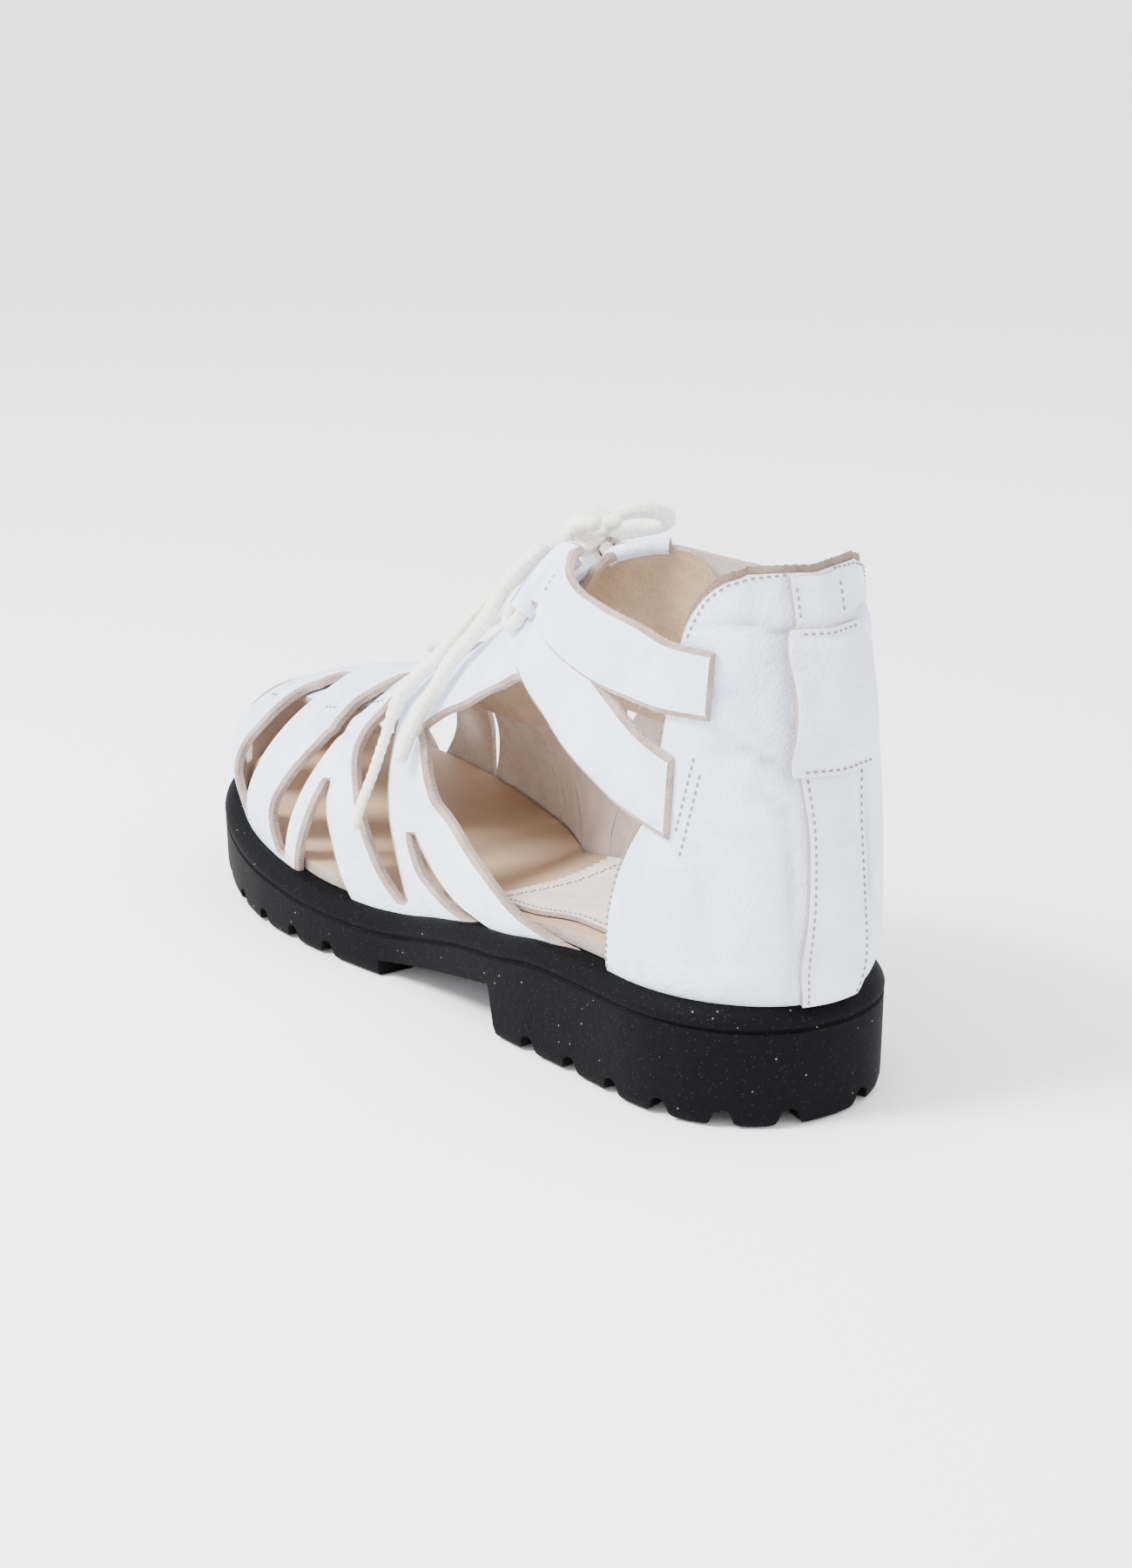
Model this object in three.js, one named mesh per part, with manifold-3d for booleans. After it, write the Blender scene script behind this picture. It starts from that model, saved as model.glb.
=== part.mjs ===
// Left shoe of a cut-out gurkha sandal in thick leather on a lugged rubber unit sole.
// Millimetres. X runs to the toe, Y to the outer (lateral) side, Z up.
// The origin is on the floor in the middle of the heel tread.
import * as THREE from "three";
import { mergeVertices } from "three/addons/utils/BufferGeometryUtils.js";
import Module from "manifold-3d";

// Driving sizes of the shoe
const soleLength = 263;
const ballWidth = 94;
const ankleHeight = 130;
const heelRise = 29.5;
const heelSeat = 38;
const clearance = 0.3;

// Rubber unit sole
const featherInset = 4.4;
const lugDepth = 4.6;
const lugPitch = 16.4;
const notchWidth = 5.2;
const notchReach = 12;
const channelWidth = 3.4;
const breastAt = 0.34;
const breastSlope = 3;
const archRise = 13.6;
const archEndAt = 0.532;

// Leather pieces
const upperWall = 2.4;
const tongueWall = 2.0;
const tongueDrop = 0.6;
const insoleEdge = 3.2;
const sockWall = 1.2;
const stripWall = 1.6;
const loopStand = 4.2;

// Lace
const laceWidth = 4.4;
const laceSides = 8;
const knotLong = 9.4;
const knotWide = 6.8;
const knotHigh = 5;
const knotPitch = 0.5;

// Plan of the sole: middle and half width are shares of the ball width
const solePlan = [
  { at: 0.0, middle: 0.0, half: 0.372 },
  { at: 0.15, middle: 0.0, half: 0.374 },
  { at: 0.23, middle: 0.013, half: 0.372 },
  { at: 0.31, middle: 0.045, half: 0.36 },
  { at: 0.38, middle: 0.066, half: 0.341 },
  { at: 0.44, middle: 0.07, half: 0.338 },
  { at: 0.5, middle: 0.055, half: 0.363 },
  { at: 0.56, middle: 0.03, half: 0.42 },
  { at: 0.62, middle: 0.01, half: 0.468 },
  { at: 0.68, middle: -0.003, half: 0.497 },
  { at: 0.75, middle: -0.014, half: 0.51 },
  { at: 0.82, middle: -0.025, half: 0.511 },
  { at: 1.0, middle: -0.045, half: 0.511 },
];
const heelRound = { reach: 0.152, power: 2.15 };
const toeRound = { reach: 0.278, power: 2.22 };

// Side of the sole: top and tread heights are shares of the heel rise
const soleSide = [
  { at: 0.0, top: 1.0, tread: 0 },
  { at: 0.26, top: 1.0, tread: 0 },
  { at: 0.335, top: 0.908, tread: 0 },
  { at: 0.385, top: 0.854, tread: 0 },
  { at: 0.456, top: 0.722, tread: 0 },
  { at: 0.52, top: 0.61, tread: 0 },
  { at: 0.57, top: 0.583, tread: 0 },
  { at: 0.66, top: 0.603, tread: 0 },
  { at: 0.71, top: 0.647, tread: 0 },
  { at: 0.78, top: 0.715, tread: 0.02 },
  { at: 0.84, top: 0.8, tread: 0.08 },
  { at: 0.88, top: 0.868, tread: 0.156 },
  { at: 0.93, top: 0.949, tread: 0.25 },
  { at: 1.0, top: 1.05, tread: 0.373 },
];

// Edge of the sole from the tread up: drop is the depth under the top, in millimetres
const soleEdge = [
  { rise: 0, drop: null, inset: 1.7 },
  { rise: 1.0, drop: null, inset: 0.8 },
  { rise: 3.0, drop: null, inset: 0.3 },
  { rise: null, drop: 6.2, inset: 0.1 },
  { rise: null, drop: 5.3, inset: 0.7 },
  { rise: null, drop: 4.4, inset: 0.0 },
  { rise: null, drop: 2.6, inset: 0.5 },
  { rise: null, drop: 0.9, inset: 1.8 },
  { rise: null, drop: 0, inset: 3.4 },
];

// Ribs of the last: each runs from the feather line up to the collar or the ridge of the instep.
// topAt is a share of the sole length, topOut and bulge of the ball width, topUp of the ankle height
const lastRibs = [
  { at: 0.0, topAt: 0.051, topOut: 0.0, topUp: 0.985, round: 2.0, bulge: 0.07 },
  { at: 0.04, topAt: 0.073, topOut: 0.175, topUp: 0.99, round: 2.0, bulge: 0.055 },
  { at: 0.1, topAt: 0.115, topOut: 0.25, topUp: 0.975, round: 2.0, bulge: 0.04 },
  { at: 0.17, topAt: 0.167, topOut: 0.272, topUp: 0.95, round: 1.95, bulge: 0.03 },
  { at: 0.25, topAt: 0.22, topOut: 0.252, topUp: 0.94, round: 1.85, bulge: 0.02 },
  { at: 0.33, topAt: 0.274, topOut: 0.19, topUp: 0.945, round: 1.7, bulge: 0.01 },
  { at: 0.4, topAt: 0.312, topOut: 0.1, topUp: 0.95, round: 1.55, bulge: 0.01 },
  { at: 0.46, topAt: 0.34, topOut: 0.0, topUp: 0.93, round: 1.4, bulge: 0.01 },
  { at: 0.52, topAt: 0.42, topOut: 0.0, topUp: 0.81, round: 1.3, bulge: 0.01 },
  { at: 0.6, topAt: 0.54, topOut: 0.0, topUp: 0.665, round: 1.2, bulge: 0.015 },
  { at: 0.68, topAt: 0.64, topOut: 0.0, topUp: 0.57, round: 1.08, bulge: 0.02 },
  { at: 0.76, topAt: 0.73, topOut: 0.0, topUp: 0.52, round: 0.98, bulge: 0.03 },
  { at: 0.84, topAt: 0.81, topOut: 0.0, topUp: 0.482, round: 0.9, bulge: 0.04 },
  { at: 0.92, topAt: 0.885, topOut: 0.0, topUp: 0.44, round: 0.86, bulge: 0.045 },
  { at: 1.0, topAt: 0.955, topOut: 0.0, topUp: 0.37, round: 0.86, bulge: 0.045 },
];
const bulgeLean = 0.68;
const bulgePower = 1.3;
const ridgeFrom = 0.46;

// Edges of the cut-outs: the share along the shoe at each level up the side
const levels = { sole: 0, low: 0.15, side: 0.3, shoulder: 0.5, top: 0.7, crown: 0.9 };
const outerCutouts = [
  {
    name: "toe", from: 0.06, to: 0.84,
    front: { sole: 0.95, low: 0.968, side: 0.966, shoulder: 0.955, top: 0.945, crown: 0.93 },
    rear: { sole: 0.94, low: 0.948, side: 0.938, shoulder: 0.92, top: 0.912, crown: 0.93 },
  },
  {
    name: "first", from: 0.03, to: 0.86,
    front: { sole: 0.845, low: 0.878, side: 0.866, shoulder: 0.844, top: 0.842, crown: 0.81 },
    rear: { sole: 0.84, low: 0.823, side: 0.805, shoulder: 0.791, top: 0.785, crown: 0.81 },
  },
  {
    name: "second", from: 0.03, to: 0.8,
    front: { sole: 0.735, low: 0.753, side: 0.736, shoulder: 0.709, top: 0.699, crown: 0.668 },
    rear: { sole: 0.73, low: 0.718, side: 0.706, shoulder: 0.688, top: 0.67, crown: 0.67 },
  },
  {
    name: "fork", from: -0.05, to: 0.345,
    front: { sole: 0.7, low: 0.687, side: 0.675, shoulder: 0.66, top: 0.66, crown: 0.66 },
    rear: { sole: 0.6, low: 0.633, side: 0.662, shoulder: 0.667, top: 0.667, crown: 0.667 },
  },
  {
    name: "third", from: 0.05, to: 0.7,
    front: { sole: 0.5, low: 0.563, side: 0.608, shoulder: 0.645, top: 0.636, crown: 0.62 },
    rear: { sole: 0.5, low: 0.532, side: 0.566, shoulder: 0.598, top: 0.632, crown: 0.64 },
  },
  {
    name: "slit", from: -0.05, to: 0.225,
    front: { sole: 0.385, low: 0.496, side: 0.535, shoulder: 0.55, top: 0.55, crown: 0.55 },
    rear: { sole: 0.345, low: 0.478, side: 0.538, shoulder: 0.56, top: 0.56, crown: 0.56 },
  },
];

// The inner side has fewer and narrower cut-outs between wider straps
const innerCutouts = [
  {
    name: "inner_toe", from: 0.06, to: 0.84,
    front: { sole: 0.962, low: 0.973, side: 0.968, shoulder: 0.955, top: 0.945, crown: 0.93 },
    rear: { sole: 0.96, low: 0.958, side: 0.948, shoulder: 0.932, top: 0.925, crown: 0.93 },
  },
  {
    name: "inner_first", from: 0.02, to: 0.84,
    front: { sole: 0.905, low: 0.926, side: 0.918, shoulder: 0.894, top: 0.872, crown: 0.85 },
    rear: { sole: 0.9, low: 0.886, side: 0.876, shoulder: 0.856, top: 0.846, crown: 0.85 },
  },
  {
    name: "inner_second", from: 0.02, to: 0.8,
    front: { sole: 0.818, low: 0.824, side: 0.818, shoulder: 0.8, top: 0.775, crown: 0.75 },
    rear: { sole: 0.816, low: 0.811, side: 0.803, shoulder: 0.785, top: 0.763, crown: 0.75 },
  },
  {
    name: "inner_third", from: 0.02, to: 0.72,
    front: { sole: 0.652, low: 0.662, side: 0.675, shoulder: 0.693, top: 0.696, crown: 0.69 },
    rear: { sole: 0.65, low: 0.655, side: 0.668, shoulder: 0.686, top: 0.69, crown: 0.69 },
  },
  {
    name: "inner_slit", from: -0.05, to: 0.3,
    front: { sole: 0.545, low: 0.567, side: 0.59, shoulder: 0.6, top: 0.6, crown: 0.6 },
    rear: { sole: 0.537, low: 0.56, side: 0.59, shoulder: 0.6, top: 0.6, crown: 0.6 },
  },
];

// Rear edge of the strapped forepart, on the outer and the inner side
const foreEdge = {
  outer: { sole: 0.215, low: 0.33, side: 0.495, shoulder: 0.555, top: 0.592, crown: 0.615 },
  inner: { sole: 0.44, low: 0.44, side: 0.42, shoulder: 0.44, top: 0.585, crown: 0.615 },
};

// Heel quarter: how far forward it reaches at each height, as a share of the shoe
const quarterEdge = [
  { rise: 0.0, outer: 0.163, inner: 0.475 },
  { rise: 0.1, outer: 0.162, inner: 0.465 },
  { rise: 0.2, outer: 0.158, inner: 0.45 },
  { rise: 0.3, outer: 0.15, inner: 0.44 },
  { rise: 0.4, outer: 0.13, inner: 0.42 },
  { rise: 0.46, outer: 0.11, inner: 0.4 },
  { rise: 0.53, outer: 0.1, inner: 0.33 },
  { rise: 0.6, outer: 0.095, inner: 0.13 },
  { rise: 0.7, outer: 0.089, inner: 0.09 },
  { rise: 0.8, outer: 0.079, inner: 0.079 },
  { rise: 0.86, outer: 0.067, inner: 0.067 },
  { rise: 0.92, outer: 0.05, inner: 0.05 },
  { rise: 0.96, outer: 0.03, inner: 0.03 },
];
const collarRise = 0.975;

// Ankle straps and eyestay: their lower and upper edges at places along the shoe
const upperStrap = [
  { at: 0.05, low: 0.615, top: 0.731 },
  { at: 0.091, low: 0.625, top: 0.754 },
  { at: 0.164, low: 0.648, top: 0.819 },
  { at: 0.258, low: 0.657, top: 0.848 },
  { at: 0.32, low: 0.657, top: 0.85 },
  { at: 0.4, low: 0.665, top: 0.86 },
  { at: 0.47, low: 0.68, top: 0.86 },
];
const lowerStrap = [
  { at: 0.078, low: 0.43, top: 0.555 },
  { at: 0.12, low: 0.455, top: 0.59 },
  { at: 0.18, low: 0.482, top: 0.645 },
  { at: 0.253, low: 0.512, top: 0.69 },
  { at: 0.306, low: 0.536, top: 0.7 },
  { at: 0.35, low: 0.547, top: 0.71 },
  { at: 0.41, low: 0.56, top: 0.72 },
];
const eyestay = [
  { at: 0.38, low: 0.56, top: 0.76 },
  { at: 0.44, low: 0.525, top: 0.76 },
  { at: 0.468, low: 0.503, top: 0.755 },
  { at: 0.5, low: 0.5, top: 0.745 },
  { at: 0.53, low: 0.505, top: 0.73 },
  { at: 0.57, low: 0.47, top: 0.7 },
  { at: 0.6, low: 0.45, top: 0.68 },
];
const strapLift = 1.7;
const strapBite = 0.9;
const strapOver = 0.45;
const innerStrapFrom = 0.1;

// Front end of the upper strap, folded round the lace: its place on the last from foot to head
const strapFold = { at: 0.474, low: 0.675, top: 0.865, wall: 1.5 };
const boreSlack = 0.2;
const boreOver = 0.06;
const laceOver = 0.03;
const foldLift = laceWidth / 2 + clearance + strapFold.wall + 0.2;

// Lace across the throat: share along the shoe, place across and lift, from the outer fold inwards
const laceBar = [
  { at: 0.486, across: 0.335, lift: 5 },
  { at: 0.499, across: 0.24, lift: 5.2 },
  { at: 0.508, across: 0.1, lift: 4.2 },
  { at: 0.51, across: 0, lift: 3.8 },
  { at: 0.508, across: -0.1, lift: 4.2 },
  { at: 0.499, across: -0.24, lift: 5.2 },
  { at: 0.486, across: -0.335, lift: 5 },
];

// Knot between the folds, in the shoe's own frame
const knotAt = [67.4, -2.6, 123.4];

// Free lengths of lace, from the knot outwards
const laceRoutes = {
  lace_end_long: [
    [77, 0, 117.4], [81.4, 2.6, 113.2], [86, 5.4, 108.6], [91.2, 8.8, 103.2], [96.9, 12.4, 96.6],
    [101, 16, 90], [104.7, 19.5, 84], [108.8, 23, 79], [111.6, 25.8, 74], [112, 28.8, 68.4],
    [110.8, 32.6, 61.4], [110.8, 36, 53.4], [111.6, 38.8, 46.4], [112.8, 41, 38.6],
  ],
  lace_end_short: [
    [71.8, 5.8, 119.2], [76, 9.4, 114.4], [80, 13, 108.2], [83.4, 16, 100.4], [88, 18.6, 93.6],
    [93.5, 21.3, 86.6], [95.4, 24.6, 80], [98.1, 28, 73.4], [99.2, 31.5, 66.3], [99.4, 34.6, 59.4],
  ],
  lace_loop_front: [
    [76.1, -5, 120.1], [84, -7.6, 115], [91, -8.8, 109.6], [99, -9.4, 103.2], [109, -9.6, 95.8],
    [120, -9.6, 89], [132, -9.4, 83.4], [143, -9, 78.8], [152, -9.4, 75.2], [159.6, -13, 72.4],
    [162.2, -18.6, 69.8], [159, -24, 68], [151, -26.6, 68.2], [141, -26, 70.4], [130, -24, 73.4],
    [119, -21.6, 78.6], [108, -19.6, 86.4], [98, -18, 94.8], [89, -16.4, 103.4], [81.4, -14, 111.4],
    [75.4, -10.8, 117.6],
  ],
  lace_loop_rear: [
    [60.4, -7.4, 127.2], [58.2, -11.5, 128.2], [56.8, -15.8, 127.9], [57.6, -20.7, 126.2], [60.9, -24, 123.6],
    [65.5, -24, 121.6], [68.9, -21.2, 120.6], [69.3, -16.7, 120.2], [68, -9.3, 120.2],
  ],
};

// Tongue: how far down each side it reaches, and its top edge where it goes back round the ankle
const tongueEdge = [
  { at: 0.2, outer: 0.97, inner: 0.44, top: 0.6 },
  { at: 0.24, outer: 0.96, inner: 0.44, top: 0.66 },
  { at: 0.28, outer: 0.95, inner: 0.47, top: 0.72 },
  { at: 0.305, outer: 0.93, inner: 0.46, top: 0.785 },
  { at: 0.335, outer: 0.91, inner: 0.45, top: 0.86 },
  { at: 0.365, outer: 0.88, inner: 0.45, top: 0.92 },
  { at: 0.42, outer: 0.82, inner: 0.45, top: 0.94 },
  { at: 0.46, outer: 0.72, inner: 0.45, top: 1 },
  { at: 0.52, outer: 0.62, inner: 0.45, top: 1 },
  { at: 0.6, outer: 0.66, inner: 0.45, top: 1 },
  { at: 0.75, outer: 0.66, inner: 0.46, top: 1 },
  { at: 0.89, outer: 0.72, inner: 0.6, top: 1 },
];
const tongueWings = { outer: 0.42, inner: 0.21 };

// Heel strip: height as a share of the ankle height, half width of the strip, stand off the counter
const stripRows = [
  { up: 0.22, half: 7.6, stand: 0 },
  { up: 0.3, half: 9.6, stand: 0 },
  { up: 0.42, half: 8.2, stand: 0 },
  { up: 0.54, half: 7.6, stand: 0 },
  { up: 0.64, half: 8.8, stand: 0 },
  { up: 0.672, half: 9.4, stand: 0.2 },
  { up: 0.71, half: 9, stand: 0.8 },
  { up: 0.78, half: 8.8, stand: 1 },
  { up: 0.85, half: 8.8, stand: 0.8 },
  { up: 0.885, half: 8, stand: 0.2 },
  { up: 0.91, half: 7, stand: 0 },
  { up: 0.985, half: 7, stand: 0 },
];

// A smooth curve through one column of a table
function column(table, name, at, key = "at") {
  const last = table.length - 1;
  if (at <= table[0][key]) return table[0][name];
  if (at >= table[last][key]) return table[last][name];
  let row = 0;
  while (at > table[row + 1][key]) row += 1;
  const step = (i) => (table[i + 1][name] - table[i][name]) / (table[i + 1][key] - table[i][key]);
  const slope = (i) => {
    if (i === 0) return step(0);
    if (i === last) return step(last - 1);
    const before = step(i - 1);
    const after = step(i);
    return before * after <= 0 ? 0 : (2 * before * after) / (before + after);
  };
  const span = table[row + 1][key] - table[row][key];
  const t = (at - table[row][key]) / span;
  const ease = t * t * (3 - 2 * t);
  const bend = t * (1 - t) * span * (slope(row) * (1 - t) - slope(row + 1) * t);
  return table[row][name] * (1 - ease) + table[row + 1][name] * ease + bend;
}

const levelTable = (edge) => Object.keys(levels).map((level) => ({ rise: levels[level], at: edge[level] }));
const edgeAt = (edge, rise) => column(levelTable(edge), "at", rise, "rise");

// Places along the shoe as a turn from 0 at the heel to 1 at the toe, finer at both ends
const turnOf = (at) => Math.acos(1 - 2 * THREE.MathUtils.clamp(at, 0, 1)) / Math.PI;
const atOf = (turn) => (1 - Math.cos(Math.PI * turn)) / 2;

// Rounding of the plan at the heel and the toe
function endShare(at) {
  const heel = Math.max(0, (heelRound.reach - at) / heelRound.reach);
  const toe = Math.max(0, (at - 1 + toeRound.reach) / toeRound.reach);
  const round = (far, power) => Math.max(0, 1 - far ** power) ** (1 / power);
  return round(heel, heelRound.power) * round(toe, toeRound.power);
}

// A point of the sole's outline, moved inwards by an inset
function planPoint(at, across, inset) {
  const middle = column(solePlan, "middle", at) * ballWidth;
  const half = column(solePlan, "half", at) * ballWidth;
  const x = inset + at * (soleLength - 2 * inset);
  return new THREE.Vector3(x, middle + across * (half - inset) * endShare(at), 0);
}

const soleTop = (x) => column(soleSide, "top", x / soleLength) * heelRise;
const soleTread = (x) => column(soleSide, "tread", x / soleLength) * heelRise;

// Foot of a rib, on the feather line inside the upper's wall
function featherPoint(at, side) {
  const point = planPoint(at, side, featherInset + upperWall);
  point.z = soleTop(point.x) + clearance;
  return point;
}

const ribs = lastRibs.map((rib) => ({ ...rib, turn: turnOf(rib.at) }));
const ribSize = (name, turn) => column(ribs, name, turn, "turn");

// A point of the last on one side: turn along the shoe, rise from the feather line to the top.
// Below the feather line the last goes on straight down.
function lastPoint(turn, side, height) {
  const rise = THREE.MathUtils.clamp(height, 0, 1);
  const below = Math.min(0, height) * ankleHeight;
  const at = atOf(turn);
  const foot = featherPoint(at, side);
  const top = new THREE.Vector3(
    ribSize("topAt", turn) * soleLength,
    side * ribSize("topOut", turn) * ballWidth,
    ribSize("topUp", turn) * ankleHeight,
  );
  const round = ribSize("round", turn);
  const inward = Math.cos((rise * Math.PI) / 2) ** round;
  const upward = Math.sin((rise * Math.PI) / 2) ** round;
  const step = 0.004;
  const along = featherPoint(atOf(Math.min(1, turn + step)), side);
  along.sub(featherPoint(atOf(Math.max(0, turn - step)), side)).setZ(0).normalize();
  const swell = Math.max(0, Math.sin(Math.PI * rise ** bulgeLean)) ** bulgePower;
  const out = ribSize("bulge", turn) * ballWidth * swell;
  return new THREE.Vector3(
    top.x + (foot.x - top.x) * inward - along.y * side * out,
    top.y + (foot.y - top.y) * inward + along.x * side * out,
    foot.z + (top.z - foot.z) * upward + below,
  );
}

// The same point lifted off the last along its normal
function onLast(turn, side, rise, lift) {
  const step = 0.012;
  const turnLow = Math.max(0.001, turn - step);
  const turnHigh = Math.min(0.999, turn + step);
  const riseLow = THREE.MathUtils.clamp(rise - step, 0, 1 - 2 * step);
  const riseHigh = riseLow + 2 * step;
  const along = lastPoint(turnHigh, side, rise).sub(lastPoint(turnLow, side, rise));
  const up = lastPoint(turn, side, riseHigh).sub(lastPoint(turn, side, riseLow));
  const normal = along.cross(up).normalize().multiplyScalar(-side);
  return lastPoint(turn, side, rise).addScaledVector(normal, lift);
}

// Across the shoe: 1 at the outer feather line, 0 on the ridge, -1 at the inner feather line
const overLast = (at, across, lift) =>
  onLast(turnOf(at), across < 0 ? -1 : 1, 1 - Math.abs(across), lift);

// Round the heel: a negative turn lies on the inner side
const roundHeel = (turn, rise, lift) => onLast(Math.abs(turn), turn < 0 ? -1 : 1, rise, lift);

// A closed mesh from corners and triangles, with doubles welded and empty faces dropped
function closedGeometry(points, faces) {
  const flat = new THREE.BufferGeometry();
  flat.setAttribute("position", new THREE.Float32BufferAttribute(points.flatMap((p) => p.toArray()), 3));
  flat.setIndex(faces.flat());
  const welded = mergeVertices(flat, 1e-3);
  const index = Array.from(welded.index.array);
  const kept = [];
  for (let i = 0; i < index.length; i += 3) {
    const [a, b, c] = index.slice(i, i + 3);
    if (a !== b && b !== c && a !== c) kept.push(a, b, c);
  }
  welded.setIndex(kept);
  return volumeOf(welded) < 0 ? flipped(welded) : welded;
}

function volumeOf(geometry) {
  const spots = geometry.attributes.position;
  const index = geometry.index.array;
  const corner = (i) => new THREE.Vector3().fromBufferAttribute(spots, index[i]);
  let volume = 0;
  for (let i = 0; i < index.length; i += 3) {
    volume += corner(i).dot(corner(i + 1).cross(corner(i + 2))) / 6;
  }
  return volume;
}

function flipped(geometry) {
  const index = Array.from(geometry.index.array);
  for (let i = 0; i < index.length; i += 3) {
    [index[i + 1], index[i + 2]] = [index[i + 2], index[i + 1]];
  }
  geometry.setIndex(index);
  return geometry;
}

// A wall between two sheets of points, rows by columns, closed along its four edges
function wall(rows, columns, outerPoint, innerPoint) {
  const points = [];
  const sheet = (pointAt) => {
    const start = points.length;
    for (let i = 0; i <= rows; i += 1) {
      for (let j = 0; j <= columns; j += 1) points.push(pointAt(i / rows, j / columns));
    }
    return (i, j) => start + i * (columns + 1) + j;
  };
  const outer = sheet(outerPoint);
  const inner = sheet(innerPoint);
  const faces = [];
  const quad = (a, b, c, d) => faces.push([a, b, c], [a, c, d]);
  for (let i = 0; i < rows; i += 1) {
    for (let j = 0; j < columns; j += 1) {
      quad(outer(i, j), outer(i + 1, j), outer(i + 1, j + 1), outer(i, j + 1));
      quad(inner(i, j), inner(i, j + 1), inner(i + 1, j + 1), inner(i + 1, j));
    }
  }
  for (let i = 0; i < rows; i += 1) {
    quad(outer(i, 0), inner(i, 0), inner(i + 1, 0), outer(i + 1, 0));
    quad(outer(i, columns), outer(i + 1, columns), inner(i + 1, columns), inner(i, columns));
  }
  for (let j = 0; j < columns; j += 1) {
    quad(outer(0, j), outer(0, j + 1), inner(0, j + 1), inner(0, j));
    quad(outer(rows, j), inner(rows, j), inner(rows, j + 1), outer(rows, j + 1));
  }
  return closedGeometry(points, faces);
}

// A wall that follows the last between two lifts, from a function giving its place on the last
const lastWall = (rows, columns, place, low, high) =>
  wall(rows, columns, (u, v) => place(u, v, high), (u, v) => place(u, v, low));

function ringArea(ring) {
  const sum = new THREE.Vector3();
  for (let i = 1; i < ring.length - 1; i += 1) {
    const first = ring[i].clone().sub(ring[0]);
    sum.add(first.cross(ring[i + 1].clone().sub(ring[0])));
  }
  return sum.length() / 2;
}

// A solid lofted from closed sections of the same number of points, capped where an end is open
function loft(stations, section) {
  const rings = [];
  for (let i = 0; i <= stations; i += 1) rings.push(section(i / stations));
  const count = rings[0].length;
  const points = rings.flat();
  const faces = [];
  for (let i = 0; i < stations; i += 1) {
    for (let j = 0; j < count; j += 1) {
      const next = (j + 1) % count;
      const [a, b] = [i * count + j, i * count + next];
      faces.push([a, a + count, b + count], [a, b + count, b]);
    }
  }
  const open = (ring) => ringArea(ring) > 1e-2;
  for (let j = 1; j < count - 1; j += 1) {
    if (open(rings[0])) faces.push([0, j, j + 1]);
    const end = stations * count;
    if (open(rings[stations])) faces.push([end, end + j + 1, end + j]);
  }
  return closedGeometry(points, faces);
}

// Booleans
const wasm = await Module();
wasm.setup();

function solid(geometry) {
  const bare = new THREE.BufferGeometry();
  const source = geometry.index ? geometry.toNonIndexed() : geometry;
  bare.setAttribute("position", source.getAttribute("position"));
  const welded = mergeVertices(bare, 1e-3);
  return new wasm.Manifold(
    new wasm.Mesh({
      numProp: 3,
      vertProperties: welded.attributes.position.array,
      triVerts: new Uint32Array(welded.index.array),
    }),
  );
}

const joined = (bodies) => bodies.reduce((sum, body) => sum.add(body));

// The cut body as a geometry, without the crumbs that a cut along a face can leave
const crumb = 1;
function geometryOf(body) {
  const mesh = joined(body.decompose().filter((part) => part.volume() > crumb)).getMesh();
  const geometry = new THREE.BufferGeometry();
  geometry.setAttribute("position", new THREE.BufferAttribute(mesh.vertProperties, 3));
  geometry.setIndex(new THREE.BufferAttribute(mesh.triVerts, 1));
  return geometry;
}

const finishes = {
  rubber: new THREE.MeshStandardMaterial({ color: 0x26262a, roughness: 0.72, metalness: 0 }),
  whiteLeather: new THREE.MeshStandardMaterial({ color: 0xeef0f5, roughness: 0.5, metalness: 0 }),
  tanLeather: new THREE.MeshStandardMaterial({ color: 0xc9a888, roughness: 0.6, metalness: 0 }),
  sockLeather: new THREE.MeshStandardMaterial({ color: 0xe3dcd6, roughness: 0.6, metalness: 0 }),
  cotton: new THREE.MeshStandardMaterial({ color: 0xf2f1ec, roughness: 0.85, metalness: 0 }),
};

const shoe = new THREE.Group();
function addPiece(name, geometry, finish) {
  const drawn = geometry.index ? geometry.toNonIndexed() : geometry;
  drawn.computeVertexNormals();
  const mesh = new THREE.Mesh(drawn, finishes[finish]);
  mesh.name = name;
  mesh.position.x = -heelSeat;
  shoe.add(mesh);
}

// Outsole: a lofted unit with a raised arch and lugs left between cut channels
function soleSection(turn) {
  const at = atOf(turn);
  const levelPoint = (level, side) => {
    const point = planPoint(at, side, level.inset);
    point.z = level.drop === null ? soleTread(point.x) + level.rise : soleTop(point.x) - level.drop;
    return point;
  };
  const acrossSteps = 3;
  const across = (level, from) => {
    const inner = [];
    for (let i = 1; i < acrossSteps; i += 1) {
      inner.push(levelPoint(level, from * (1 - (2 * i) / acrossSteps)));
    }
    return inner;
  };
  const outerSide = soleEdge.map((level) => levelPoint(level, 1));
  const innerSide = soleEdge.map((level) => levelPoint(level, -1)).reverse();
  const topRow = across(soleEdge[soleEdge.length - 1], 1);
  const bottomRow = across(soleEdge[0], -1);
  return [...outerSide, ...topRow, ...innerSide, ...bottomRow];
}

// A prism along Y from an outline in X and Z
function crossPrism(corners) {
  const shape = new THREE.Shape(corners.map(([x, z]) => new THREE.Vector2(x, z)));
  const prism = new THREE.ExtrudeGeometry(shape, { depth: 2 * ballWidth, bevelEnabled: false });
  return prism.rotateX(Math.PI / 2).translate(0, ballWidth, 0);
}

function archCutter() {
  const breast = breastAt * soleLength;
  const archEnd = archEndAt * soleLength;
  return crossPrism([
    [breast - breastSlope, -1],
    [breast, archRise],
    [archEnd, lugDepth],
    [archEnd + 1, -1],
  ]);
}

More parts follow.
